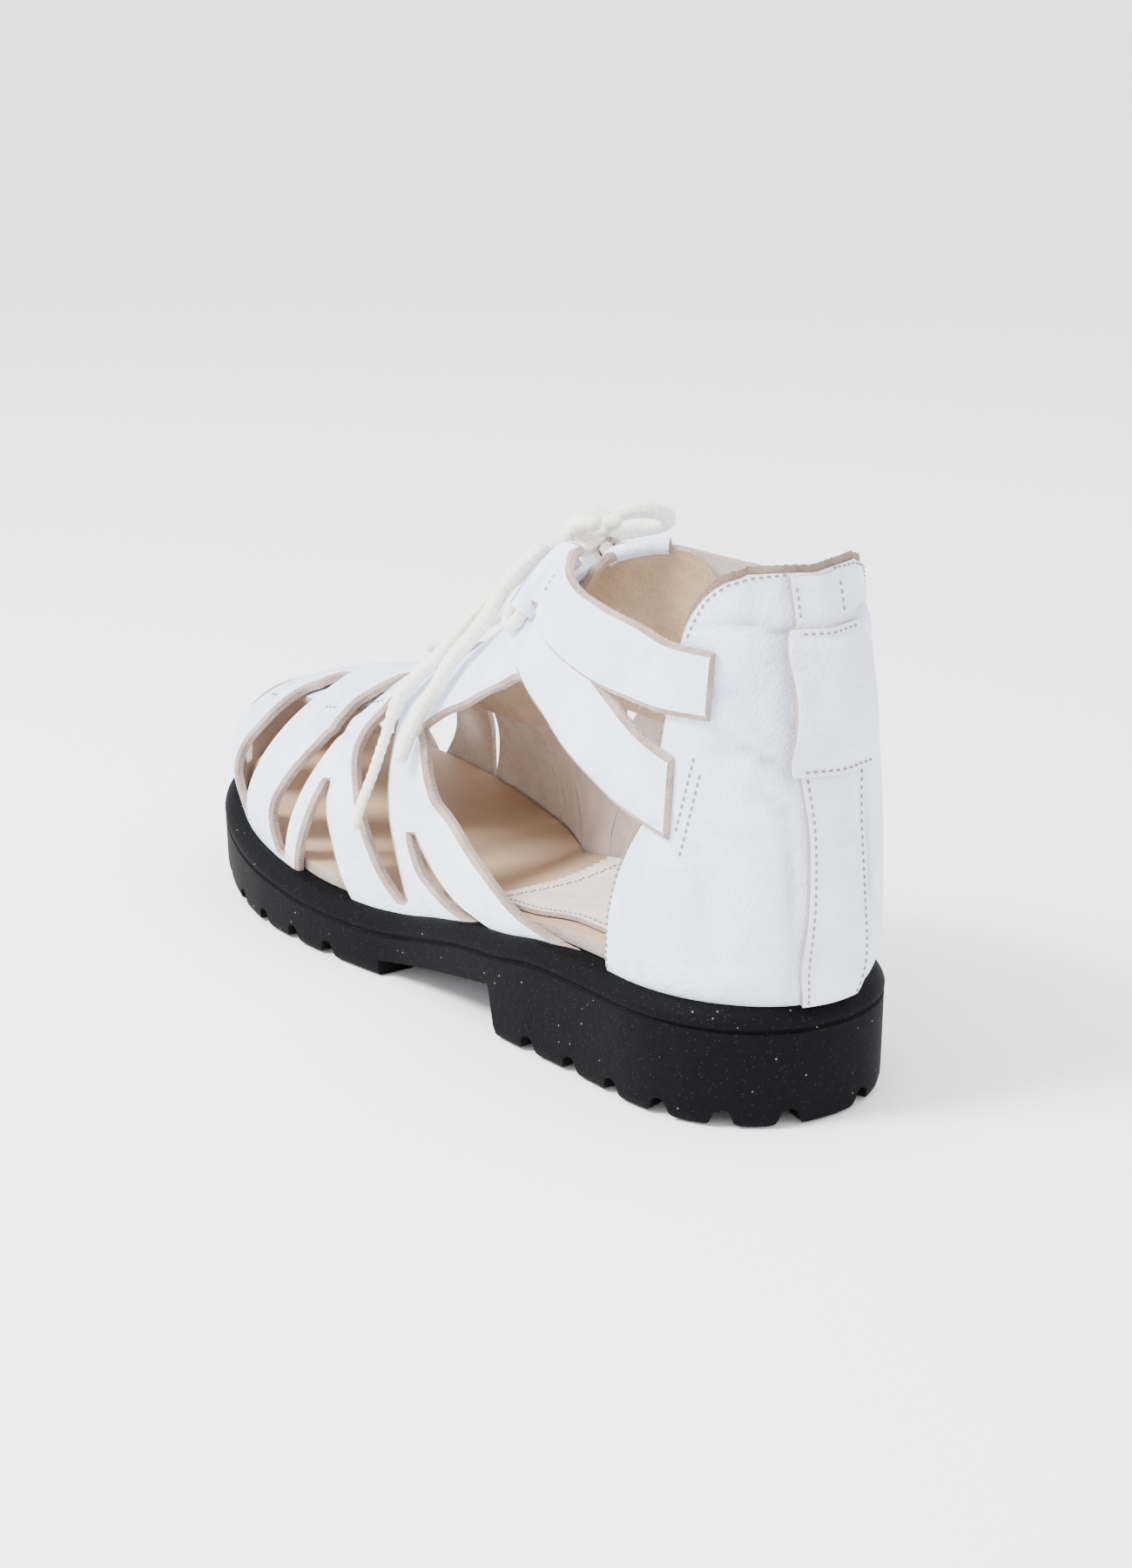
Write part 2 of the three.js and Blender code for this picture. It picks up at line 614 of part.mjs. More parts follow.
// A notch with a round roof, cut inwards from the edge between two lugs
function notchCutter(at, side) {
  const edge = planPoint(at, side, 0);
  const step = 0.01;
  const ahead = planPoint(Math.min(1, at + step), side, 0);
  const along = ahead.sub(planPoint(Math.max(0, at - step), side, 0)).normalize();
  const outward = Math.atan2(along.x * side, -along.y * side);
  const half = notchWidth / 2;
  const floor = soleTread(edge.x);
  const shape = new THREE.Shape();
  shape.moveTo(-half, -lugDepth);
  shape.lineTo(half, -lugDepth);
  shape.lineTo(half, lugDepth - half);
  shape.absarc(0, lugDepth - half, half, 0, Math.PI, false);
  const over = 6;
  const prism = new THREE.ExtrudeGeometry(shape, {
    depth: notchReach + over, bevelEnabled: false, curveSegments: 3,
  });
  prism.rotateX(Math.PI / 2).rotateZ(-Math.PI / 2).translate(over, 0, 0);
  return prism.rotateZ(outward).translate(edge.x, edge.y, floor);
}

// Places of the notches: even steps of the lug pitch along the outline between two shares
function notchPlaces(fromAt, toAt, side) {
  const places = [];
  const fine = 400;
  let run = 0;
  let before = planPoint(fromAt, side, 0);
  for (let i = 1; i <= fine; i += 1) {
    const at = atOf(turnOf(fromAt) + ((turnOf(toAt) - turnOf(fromAt)) * i) / fine);
    const here = planPoint(at, side, 0);
    run += here.distanceTo(before);
    before = here;
    if (run >= lugPitch) {
      places.push(at);
      run -= lugPitch;
    }
  }
  return places;
}

// A slab under part of the sole, bounded by the plan at one inset, up to the lug depth
function treadSlab(fromAt, toAt, inset) {
  return solid(loft(12, (share) => {
    const turn = turnOf(fromAt) + (turnOf(toAt) - turnOf(fromAt)) * share;
    const corner = (side, height) => {
      const point = planPoint(atOf(turn), side, inset);
      return point.setZ(soleTread(point.x) + height);
    };
    return [corner(1, -lugDepth), corner(1, lugDepth), corner(-1, lugDepth), corner(-1, -lugDepth)];
  }));
}

// The channel inside the edge lugs and the grooves that part the lugs in the middle
function treadChannels(fromAt, toAt) {
  const inset = notchReach + channelWidth;
  const margin = inset / soleLength;
  const start = fromAt === 0 ? 0 : fromAt + margin;
  const end = toAt === 1 ? 1 : toAt - margin;
  const middle = treadSlab(start, end, inset);
  const ring = treadSlab(start, end, notchReach).subtract(middle);
  const length = (toAt - fromAt) * soleLength;
  const count = Math.floor(length / (2 * lugPitch));
  const grooves = [];
  for (let i = 1; i <= count; i += 1) {
    const x = fromAt * soleLength + (length * i) / (count + 1);
    const half = channelWidth / 2;
    const roof = heelRise / 2;
    grooves.push(solid(crossPrism([[x - half, -1], [x - half, roof], [x + half, roof], [x + half, -1]])));
  }
  return ring.add(joined(grooves).intersect(middle));
}

function outsole() {
  let body = solid(loft(34, soleSection)).subtract(solid(archCutter()));
  const archEnd = archEndAt + notchWidth / soleLength;
  for (const side of [1, -1]) {
    const places = [...notchPlaces(breastAt, 0, side), ...notchPlaces(archEnd, 1, side)];
    for (const at of places) body = body.subtract(solid(notchCutter(at, side)));
  }
  return geometryOf(body.subtract(treadChannels(0, breastAt)).subtract(treadChannels(archEnd, 1)));
}
addPiece("outsole", outsole(), "rubber");

// Insole: a slab inside the upper's wall, dished under the heel and raised at the inner arch
const insoleInset = featherInset + upperWall + 2 * clearance;
const insoleDish = [
  { at: 0.0, dish: 1.6, arch: 0 },
  { at: 0.3, dish: 1.2, arch: 1.5 },
  { at: 0.45, dish: 0.4, arch: 4 },
  { at: 0.6, dish: 0.3, arch: 1.5 },
  { at: 0.75, dish: 0.8, arch: 0 },
  { at: 1.0, dish: 0, arch: 0 },
];

function insoleTop(at, across) {
  const point = planPoint(at, across, insoleInset);
  const bowl = column(insoleDish, "dish", at) * (1 - across * across);
  const arch = column(insoleDish, "arch", at) * Math.max(0, -across) ** 2;
  return point.setZ(soleTop(point.x) + clearance + insoleEdge - bowl + arch);
}

function insoleBottom(at, across) {
  const point = planPoint(at, across, insoleInset);
  return point.setZ(soleTop(point.x) + clearance);
}

const insoleEnd = 0.014;
const insoleAt = (u) => atOf(insoleEnd + (1 - 2 * insoleEnd) * u);
const insole = wall(
  30, 4,
  (u, v) => insoleTop(insoleAt(u), 2 * v - 1),
  (u, v) => insoleBottom(insoleAt(u), 2 * v - 1),
);
addPiece("insole", insole, "tanLeather");

// Heel sock: thin leather on the insole with a straight front edge
const sockInset = insoleInset + 2.4;
const sockSeat = 1.5 * clearance;
const sockFrontAt = 0.42;
const sockOuter = 0.86;
function sockPoint(u, v, lift) {
  const at = atOf(u * turnOf(sockFrontAt));
  const across = v * (1 + sockOuter) - 1;
  const point = planPoint(at, across, sockInset);
  const own = (point.x - insoleInset) / (soleLength - 2 * insoleInset);
  const middle = column(solePlan, "middle", own) * ballWidth;
  const half = (column(solePlan, "half", own) * ballWidth - insoleInset) * endShare(own);
  const under = insoleTop(own, THREE.MathUtils.clamp((point.y - middle) / Math.max(half, 1), -1, 1));
  return point.setZ(under.z + lift);
}
const heelSock = wall(
  12, 4,
  (u, v) => sockPoint(u, v, sockSeat + sockWall),
  (u, v) => sockPoint(u, v, sockSeat),
);
addPiece("heel_sock", heelSock, "sockLeather");

// The upper's walls start a little low and are trimmed along the top of the sole
const hem = 0.02;
const trimDepth = 20;
function soleTrim() {
  return solid(loft(48, (turn) => {
    const corner = (side, drop) => {
      const point = planPoint(atOf(turn), side, -2 * featherInset);
      return point.setZ(soleTop(THREE.MathUtils.clamp(point.x, 0, soleLength)) + clearance - drop);
    };
    return [corner(1, trimDepth), corner(1, 0), corner(-1, 0), corner(-1, trimDepth)];
  }));
}

// Strapped forepart: one wall over the last, carried back along both sides and trimmed at the rear
function forepart() {
  const columns = 20;
  const sideColumns = 8;
  const shell = (from, to, rows, first, last) => {
    const place = (u, v, lift) => {
      const column = first + (last - first) * v;
      const turn = turnOf(from) + (turnOf(to) - turnOf(from)) * u;
      return overLast(atOf(turn), (1 + hem) * (1 - (2 * column) / columns), lift);
    };
    return solid(lastWall(rows, last - first, place, 0, upperWall));
  };
  const outerFrom = foreEdge.outer.sole - 0.03;
  const innerFrom = foreEdge.inner.side - 0.03;
  return joined([
    shell(0.5, 1, 11, 0, columns),
    shell(outerFrom, 0.5, 4, 0, sideColumns),
    shell(innerFrom, 0.5, 2, columns - sideColumns, columns),
  ]).subtract(joined([rearTrim(1), rearTrim(-1), throatTrim()]));
}

// Cutters for what lies behind the forepart's rear edge: on one side, and over the ridge
function rearTrim(side) {
  const edge = foreEdge[side < 0 ? "inner" : "outer"];
  const place = (u, v, lift) => {
    const rise = 0.98 * v - hem - 0.02 * (1 - v);
    const rear = edge.sole - 0.12;
    return onLast(turnOf(rear + (edgeAt(edge, rise) - rear) * u), side, rise, lift);
  };
  return solid(lastWall(1, 10, place, -3 * upperWall, 3 * upperWall));
}

function throatTrim() {
  const place = (u, v, lift) => {
    const across = 0.3 * (1 - 2 * v);
    const edge = foreEdge[across < 0 ? "inner" : "outer"];
    return overLast(0.47 + (edgeAt(edge, 1 - Math.abs(across)) - 0.47) * u, across, lift);
  };
  return solid(lastWall(2, 6, place, -2 * upperWall, 2 * upperWall));
}

// A cutter through the wall for one cut-out on one side
function cutoutCutter(cutout, side) {
  const place = (u, v, lift) => {
    const rise = cutout.from + (cutout.to - cutout.from) * v;
    const front = edgeAt(cutout.front, rise);
    const rear = edgeAt(cutout.rear, rise);
    const middle = (front + rear) / 2;
    const half = Math.max(0, (front - rear) / 2);
    return onLast(turnOf(middle + half * (2 * u - 1)), side, rise, lift);
  };
  return solid(lastWall(1, 6, place, -3 * upperWall, 3 * upperWall));
}

// A leather band on one side between two edges given along the shoe
function band(table, side, low, high, columns) {
  const first = side < 0 ? Math.max(table[0].at, innerStrapFrom) : table[0].at;
  const last = table[table.length - 1].at;
  const place = (u, v, lift) => {
    const turn = turnOf(first) + (turnOf(last) - turnOf(first)) * u;
    const bottom = column(table, "low", atOf(turn));
    const top = column(table, "top", atOf(turn));
    return onLast(turn, side, bottom + (top - bottom) * v, lift);
  };
  return solid(lastWall(8, columns, place, low, high));
}

function quarter() {
  const place = (u, v, lift) => {
    const rise = u * (collarRise + hem) - hem;
    const outer = turnOf(column(quarterEdge, "outer", rise, "rise"));
    const inner = turnOf(column(quarterEdge, "inner", rise, "rise"));
    return roundHeel(outer + (-inner - outer) * v, rise, lift);
  };
  return solid(lastWall(12, 20, place, 0, upperWall));
}

function foldTube(side, thickness, over) {
  const line = foldLine(side, strapFold.low - over, strapFold.top + over);
  return solid(cord(line, laceWidth + 2 * (clearance + thickness), 6));
}

function upper() {
  let body = forepart();
  for (const cutout of outerCutouts) body = body.subtract(cutoutCutter(cutout, 1));
  for (const cutout of innerCutouts) body = body.subtract(cutoutCutter(cutout, -1));
  const pieces = [body, quarter()];
  for (const side of [1, -1]) {
    pieces.push(band(eyestay, side, 0, upperWall, 4));
    pieces.push(band(lowerStrap, side, strapLift - strapBite, strapLift + upperWall, 3));
    pieces.push(band(upperStrap, side, strapLift - strapBite + strapOver, strapLift + upperWall + strapOver, 3));
    pieces.push(foldTube(side, strapFold.wall, 0));
  }
  const bores = [1, -1].map((side) => foldTube(side, boreSlack, boreOver));
  return geometryOf(joined(pieces).subtract(joined([soleTrim(), ...bores])));
}
addPiece("upper", upper(), "whiteLeather");

// A round cord along a smooth route
function cord(points, width, steps) {
  const path = new THREE.CatmullRomCurve3(points);
  const section = new THREE.Shape(ringOf(width / 2, laceSides));
  return new THREE.ExtrudeGeometry(section, { steps, bevelEnabled: false, extrudePath: path });
}

function ringOf(radius, sides) {
  const turnTo = (i) => (2 * Math.PI * (i + 0.5)) / sides;
  const corner = (i) => new THREE.Vector2(radius * Math.cos(turnTo(i)), radius * Math.sin(turnTo(i)));
  return Array.from({ length: sides }, (_, i) => corner(i));
}

// The line of the lace inside a folded strap end
function foldLine(side, from, to) {
  const points = [];
  const steps = 3;
  for (let i = 0; i <= steps; i += 1) {
    const rise = from + ((to - from) * i) / steps;
    points.push(onLast(turnOf(strapFold.at), side, rise, foldLift));
  }
  return points;
}

// Tongue: one sheet under the straps, over the ridge, with a wing round the inner side of the ankle
function tongue() {
  const depth = 6;
  const high = -clearance - tongueDrop;
  const low = high - tongueWall;
  const last = tongueEdge[tongueEdge.length - 1].at;
  const point = (from, to, side, u, v, lift) => {
    const turn = turnOf(from) + (turnOf(to) - turnOf(from)) * u;
    const bottom = column(tongueEdge, side < 0 ? "inner" : "outer", atOf(turn));
    const top = column(tongueEdge, "top", atOf(turn));
    return onLast(turn, side, bottom + (top - bottom) * v, lift);
  };
  const over = (u, v, lift) => {
    const across = 1 - 2 * v;
    return point(ridgeFrom, last, across < 0 ? -1 : 1, u, 1 - Math.abs(across), lift);
  };
  const outerWing = (u, v, lift) => point(tongueWings.outer, ridgeFrom, 1, u, v, lift);
  const innerWing = (u, v, lift) => point(tongueWings.inner, ridgeFrom, -1, u, v, lift);
  return geometryOf(joined([
    solid(lastWall(12, 2 * depth, over, low, high)),
    solid(lastWall(2, depth, outerWing, low, high)),
    solid(lastWall(9, depth, innerWing, low, high)),
  ]));
}
addPiece("tongue", tongue(), "tanLeather");

// Heel strip: stitched to the counter, with a free pull loop between its two seams
function heelStrip() {
  const base = upperWall + clearance;
  const turnAcross = (out, rise) => {
    let [near, far] = [0, 0.3];
    for (let i = 0; i < 16; i += 1) {
      const middle = (near + far) / 2;
      if (onLast(middle, 1, rise, base).y < out) near = middle;
      else far = middle;
    }
    return (near + far) / 2;
  };
  const riseAt = (height) => {
    let [low, high] = [0, 1];
    for (let i = 0; i < 16; i += 1) {
      const middle = (low + high) / 2;
      if (onLast(0, 1, middle, base).z < height) low = middle;
      else high = middle;
    }
    return (low + high) / 2;
  };
  const place = (u, v, lift) => {
    const first = stripRows[0].up;
    const up = first + (stripRows[stripRows.length - 1].up - first) * u;
    const rise = riseAt(Math.max(up * ankleHeight, heelRise + 2 * clearance));
    const across = (1 - 2 * v) * column(stripRows, "half", up, "up");
    const turn = turnAcross(Math.abs(across), rise);
    const stand = column(stripRows, "stand", up, "up") * loopStand;
    return roundHeel(across < 0 ? -turn : turn, rise, lift + stand);
  };
  return geometryOf(solid(lastWall(20, 4, place, base, base + stripWall)));
}
addPiece("heel_strip", heelStrip(), "whiteLeather");

// Lace bars: down through one fold, across the throat and up through the other
function laceBars() {
  const across = laceBar.map((stop) => overLast(stop.at, stop.across, stop.lift));
  const down = foldLine(1, strapFold.top + laceOver, strapFold.low - laceOver);
  const up = foldLine(-1, strapFold.low - laceOver, strapFold.top + laceOver);
  return cord([...down, ...across, ...up], laceWidth - 2 * clearance, 24);
}
addPiece("lace_bars", laceBars(), "cotton");

// Knot: a rounded lump between the strap ends
function knot() {
  const ball = new THREE.SphereGeometry(1, 12, 8);
  ball.scale(knotLong, knotWide, knotHigh).rotateY(knotPitch);
  return ball.translate(knotAt[0] + heelSeat, knotAt[1], knotAt[2]);
}
addPiece("lace_knot", geometryOf(solid(knot())), "cotton");

for (const [name, stops] of Object.entries(laceRoutes)) {
  const points = stops.map(([x, y, z]) => new THREE.Vector3(x + heelSeat, y, z));
  const steps = Math.ceil(new THREE.CatmullRomCurve3(points).getLength() / (2.6 * laceWidth));
  addPiece(name, cord(points, laceWidth, steps), "cotton");
}

export default shoe;
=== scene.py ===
import math

import bpy
import numpy as np
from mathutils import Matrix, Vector
from mathutils.geometry import delaunay_2d_cdt


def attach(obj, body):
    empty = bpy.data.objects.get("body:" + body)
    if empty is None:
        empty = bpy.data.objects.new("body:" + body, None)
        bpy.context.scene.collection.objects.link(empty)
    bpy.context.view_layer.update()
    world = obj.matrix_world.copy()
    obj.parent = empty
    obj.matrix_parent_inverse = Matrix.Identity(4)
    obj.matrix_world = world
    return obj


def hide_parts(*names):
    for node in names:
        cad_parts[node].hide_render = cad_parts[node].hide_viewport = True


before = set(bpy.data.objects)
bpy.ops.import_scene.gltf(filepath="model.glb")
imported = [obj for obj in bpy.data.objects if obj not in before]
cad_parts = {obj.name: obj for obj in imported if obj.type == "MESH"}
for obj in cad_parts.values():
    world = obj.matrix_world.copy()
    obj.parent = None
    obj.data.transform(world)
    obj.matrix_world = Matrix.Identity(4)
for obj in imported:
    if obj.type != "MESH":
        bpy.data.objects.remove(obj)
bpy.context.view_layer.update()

shoe = {"soleLength": 263, "ballWidth": 94, "ankleHeight": 130, "heelRise": 29.5, "heelSeat": 38,
        "clearance": 0.3, "featherInset": 4.4, "wall": 2.4}
heelRound = (0.152, 2.15)  # reach and power of the plan's rounding
toeRound = (0.278, 2.22)
bulgeLean = 0.68
bulgePower = 1.3
levels = [0, 0.15, 0.3, 0.5, 0.7, 0.9]  # rises at which the edges of the cut-outs are given
solePlan = {
    "at": [0, 0.15, 0.23, 0.31, 0.38, 0.44, 0.5, 0.56, 0.62, 0.68, 0.75, 0.82, 1],
    "middle": [0, 0, 0.013, 0.045, 0.066, 0.07, 0.055, 0.03, 0.01, -0.003, -0.014, -0.025, -0.045],
    "half": [0.372, 0.374, 0.372, 0.36, 0.341, 0.338, 0.363, 0.42, 0.468, 0.497, 0.51, 0.511, 0.511],
}
soleSide = {
    "at": [0, 0.26, 0.335, 0.385, 0.456, 0.52, 0.57, 0.66, 0.71, 0.78, 0.84, 0.88, 0.93, 1],
    "top": [1, 1, 0.908, 0.854, 0.722, 0.61, 0.583, 0.603, 0.647, 0.715, 0.8, 0.868, 0.949, 1.05],
    "tread": [0, 0, 0, 0, 0, 0, 0, 0, 0, 0.02, 0.08, 0.156, 0.25, 0.373],
}
lastRibs = {
    "at": [0, 0.04, 0.1, 0.17, 0.25, 0.33, 0.4, 0.46, 0.52, 0.6, 0.68, 0.76, 0.84, 0.92, 1],
    "topAt": [0.051, 0.073, 0.115, 0.167, 0.22, 0.274, 0.312, 0.34, 0.42, 0.54, 0.64, 0.73, 0.81, 0.885,
        0.955],
    "topOut": [0, 0.175, 0.25, 0.272, 0.252, 0.19, 0.1, 0, 0, 0, 0, 0, 0, 0, 0],
    "topUp": [0.985, 0.99, 0.975, 0.95, 0.94, 0.945, 0.95, 0.93, 0.81, 0.665, 0.57, 0.52, 0.482, 0.44,
        0.37],
    "round": [2, 2, 2, 1.95, 1.85, 1.7, 1.55, 1.4, 1.3, 1.2, 1.08, 0.98, 0.9, 0.86, 0.86],
    "bulge": [0.07, 0.055, 0.04, 0.03, 0.02, 0.01, 0.01, 0.01, 0.01, 0.015, 0.02, 0.03, 0.04, 0.045, 0.045],
}
quarterEdge = {
    "rise": [0, 0.1, 0.2, 0.3, 0.4, 0.46, 0.53, 0.6, 0.7, 0.8, 0.86, 0.92, 0.96],
    "outer": [0.163, 0.162, 0.158, 0.15, 0.13, 0.11, 0.1, 0.095, 0.089, 0.079, 0.067, 0.05, 0.03],
    "inner": [0.475, 0.465, 0.45, 0.44, 0.42, 0.4, 0.33, 0.13, 0.09, 0.079, 0.067, 0.05, 0.03],
}
upperStrap = {
    "at": [0.05, 0.091, 0.164, 0.258, 0.32, 0.4, 0.47],
    "low": [0.615, 0.625, 0.648, 0.657, 0.657, 0.665, 0.68],
    "top": [0.731, 0.754, 0.819, 0.848, 0.85, 0.86, 0.86],
}
lowerStrap = {
    "at": [0.078, 0.12, 0.18, 0.253, 0.306, 0.35, 0.41],
    "low": [0.43, 0.455, 0.482, 0.512, 0.536, 0.547, 0.56],
    "top": [0.555, 0.59, 0.645, 0.69, 0.7, 0.71, 0.72],
}
eyestay = {
    "at": [0.38, 0.44, 0.468, 0.5, 0.53, 0.57, 0.6],
    "low": [0.56, 0.525, 0.503, 0.5, 0.505, 0.47, 0.45],
    "top": [0.76, 0.76, 0.755, 0.745, 0.73, 0.7, 0.68],
}
tongueEdge = {
    "at": [0.2, 0.24, 0.28, 0.305, 0.335, 0.365, 0.42, 0.46, 0.52, 0.6, 0.75, 0.89],
    "outer": [0.97, 0.96, 0.95, 0.93, 0.91, 0.88, 0.82, 0.72, 0.62, 0.66, 0.66, 0.72],
    "inner": [0.44, 0.44, 0.47, 0.46, 0.45, 0.45, 0.45, 0.45, 0.45, 0.45, 0.46, 0.6],
    "top": [0.6, 0.66, 0.72, 0.785, 0.86, 0.92, 0.94, 1, 1, 1, 1, 1],
}
stripRows = {
    "up": [0.22, 0.3, 0.42, 0.54, 0.64, 0.672, 0.71, 0.78, 0.85, 0.885, 0.91, 0.985],
    "half": [7.6, 9.6, 8.2, 7.6, 8.8, 9.4, 9, 8.8, 8.8, 8, 7, 7],
}
insoleDish = {
    "at": [0, 0.3, 0.45, 0.6, 0.75, 1],
    "dish": [1.6, 1.2, 0.4, 0.3, 0.8, 0],
    "arch": [0, 1.5, 4, 1.5, 0, 0],
}
laceBar = {
    "at": [0.486, 0.499, 0.508, 0.51, 0.508, 0.499, 0.486],
    "across": [0.335, 0.24, 0.1, 0, -0.1, -0.24, -0.335],
    "lift": [5, 5.2, 4.2, 3.8, 4.2, 5.2, 5],
}
outerCutouts = [
    {"from": 0.06, "to": 0.84,
     "front": [0.95, 0.968, 0.966, 0.955, 0.945, 0.93],
     "rear": [0.94, 0.948, 0.938, 0.92, 0.912, 0.93]},
    {"from": 0.03, "to": 0.86,
     "front": [0.845, 0.878, 0.866, 0.844, 0.842, 0.81],
     "rear": [0.84, 0.823, 0.805, 0.791, 0.785, 0.81]},
    {"from": 0.03, "to": 0.8,
     "front": [0.735, 0.753, 0.736, 0.709, 0.699, 0.668],
     "rear": [0.73, 0.718, 0.706, 0.688, 0.67, 0.67]},
    {"from": -0.05, "to": 0.345,
     "front": [0.7, 0.687, 0.675, 0.66, 0.66, 0.66],
     "rear": [0.6, 0.633, 0.662, 0.667, 0.667, 0.667]},
    {"from": 0.05, "to": 0.7,
     "front": [0.5, 0.563, 0.608, 0.645, 0.636, 0.62],
     "rear": [0.5, 0.532, 0.566, 0.598, 0.632, 0.64]},
    {"from": -0.05, "to": 0.225,
     "front": [0.385, 0.496, 0.535, 0.55, 0.55, 0.55],
     "rear": [0.345, 0.478, 0.538, 0.56, 0.56, 0.56]},
]
innerCutouts = [
    {"from": 0.06, "to": 0.84,
     "front": [0.962, 0.973, 0.968, 0.955, 0.945, 0.93],
     "rear": [0.96, 0.958, 0.948, 0.932, 0.925, 0.93]},
    {"from": 0.02, "to": 0.84,
     "front": [0.905, 0.926, 0.918, 0.894, 0.872, 0.85],
     "rear": [0.9, 0.886, 0.876, 0.856, 0.846, 0.85]},
    {"from": 0.02, "to": 0.8,
     "front": [0.818, 0.824, 0.818, 0.8, 0.775, 0.75],
     "rear": [0.816, 0.811, 0.803, 0.785, 0.763, 0.75]},
    {"from": 0.02, "to": 0.72,
     "front": [0.652, 0.662, 0.675, 0.693, 0.696, 0.69],
     "rear": [0.65, 0.655, 0.668, 0.686, 0.69, 0.69]},
    {"from": -0.05, "to": 0.3,
     "front": [0.545, 0.567, 0.59, 0.6, 0.6, 0.6],
     "rear": [0.537, 0.56, 0.59, 0.6, 0.6, 0.6]},
]
foreEdge = {
    "outer": [0.215, 0.33, 0.495, 0.555, 0.592, 0.615],
    "inner": [0.44, 0.44, 0.42, 0.44, 0.585, 0.615],
}
laceRoutes = {
    "lace_end_long": [
        (77, 0, 117.4), (81.4, 2.6, 113.2), (86, 5.4, 108.6), (91.2, 8.8, 103.2), (96.9, 12.4, 96.6),
        (101, 16, 90), (104.7, 19.5, 84), (108.8, 23, 79), (111.6, 25.8, 74), (112, 28.8, 68.4),
        (110.8, 32.6, 61.4), (110.8, 36, 53.4), (111.6, 38.8, 46.4), (112.8, 41, 38.6),
    ],
    "lace_end_short": [
        (71.8, 5.8, 119.2), (76, 9.4, 114.4), (80, 13, 108.2), (83.4, 16, 100.4), (88, 18.6, 93.6),
        (93.5, 21.3, 86.6), (95.4, 24.6, 80), (98.1, 28, 73.4), (99.2, 31.5, 66.3), (99.4, 34.6, 59.4),
    ],
    "lace_loop_front": [
        (76.1, -5, 120.1), (84, -7.6, 115), (91, -8.8, 109.6), (99, -9.4, 103.2), (109, -9.6, 95.8),
        (120, -9.6, 89), (132, -9.4, 83.4), (143, -9, 78.8), (152, -9.4, 75.2), (159.6, -13, 72.4),
        (162.2, -18.6, 69.8), (159, -24, 68), (151, -26.6, 68.2), (141, -26, 70.4), (130, -24, 73.4),
        (119, -21.6, 78.6), (108, -19.6, 86.4), (98, -18, 94.8), (89, -16.4, 103.4), (81.4, -14, 111.4),
        (75.4, -10.8, 117.6),
    ],
    "lace_loop_rear": [
        (60.4, -7.4, 127.2), (58.2, -11.5, 128.2), (56.8, -15.8, 127.9), (57.6, -20.7, 126.2),
        (60.9, -24, 123.6), (65.5, -24, 121.6), (68.9, -21.2, 120.6), (69.3, -16.7, 120.2),
        (68, -9.3, 120.2),
    ],
}


def column(table, name, at, key="at"):
    x = np.array(table[key], float)
    y = np.array(table[name], float)
    at = np.clip(np.asarray(at, float), x[0], x[-1])
    row = np.clip(np.searchsorted(x, at, side="right") - 1, 0, len(x) - 2)
    step = np.diff(y) / np.diff(x)
    slope = np.concatenate([step[:1], np.zeros(len(x) - 2), step[-1:]])
    before, after = step[:-1], step[1:]
    total = np.where(before * after > 0, before + after, 1)
    slope[1:-1] = np.where(before * after > 0, 2 * before * after / total, 0)
    span = x[row + 1] - x[row]
    t = (at - x[row]) / span
    ease = t * t * (3 - 2 * t)
    bend = t * (1 - t) * span * (slope[row] * (1 - t) - slope[row + 1] * t)
    return y[row] * (1 - ease) + y[row + 1] * ease + bend


def edgeAt(edge, rise):
    return column({"rise": levels, "at": edge}, "at", rise, "rise")


def turnOf(at):
    return np.arccos(1 - 2 * np.clip(at, 0, 1)) / math.pi


def atOf(turn):
    return (1 - np.cos(math.pi * np.asarray(turn, float))) / 2


def endShare(at):
    heel = np.maximum(0, (heelRound[0] - at) / heelRound[0])
    toe = np.maximum(0, (at - 1 + toeRound[0]) / toeRound[0])
    heel = np.maximum(0, 1 - heel ** heelRound[1]) ** (1 / heelRound[1])
    return heel * np.maximum(0, 1 - toe ** toeRound[1]) ** (1 / toeRound[1])


def planPoint(at, across, inset):
    middle = column(solePlan, "middle", at) * shoe["ballWidth"]
    half = column(solePlan, "half", at) * shoe["ballWidth"]
    x = inset + at * (shoe["soleLength"] - 2 * inset)
    return x, middle + across * (half - inset) * endShare(at)


def soleTop(x):
    return column(soleSide, "top", x / shoe["soleLength"]) * shoe["heelRise"]


def soleTread(x):
    return column(soleSide, "tread", x / shoe["soleLength"]) * shoe["heelRise"]


lastRibs["turn"] = list(turnOf(np.array(lastRibs["at"])))


def ribSize(name, turn):
    return column(lastRibs, name, turn, "turn")


def featherPoint(at, side):
    x, y = planPoint(at, side, shoe["featherInset"] + shoe["wall"])
    return np.stack([x, y, soleTop(x) + shoe["clearance"]], -1)


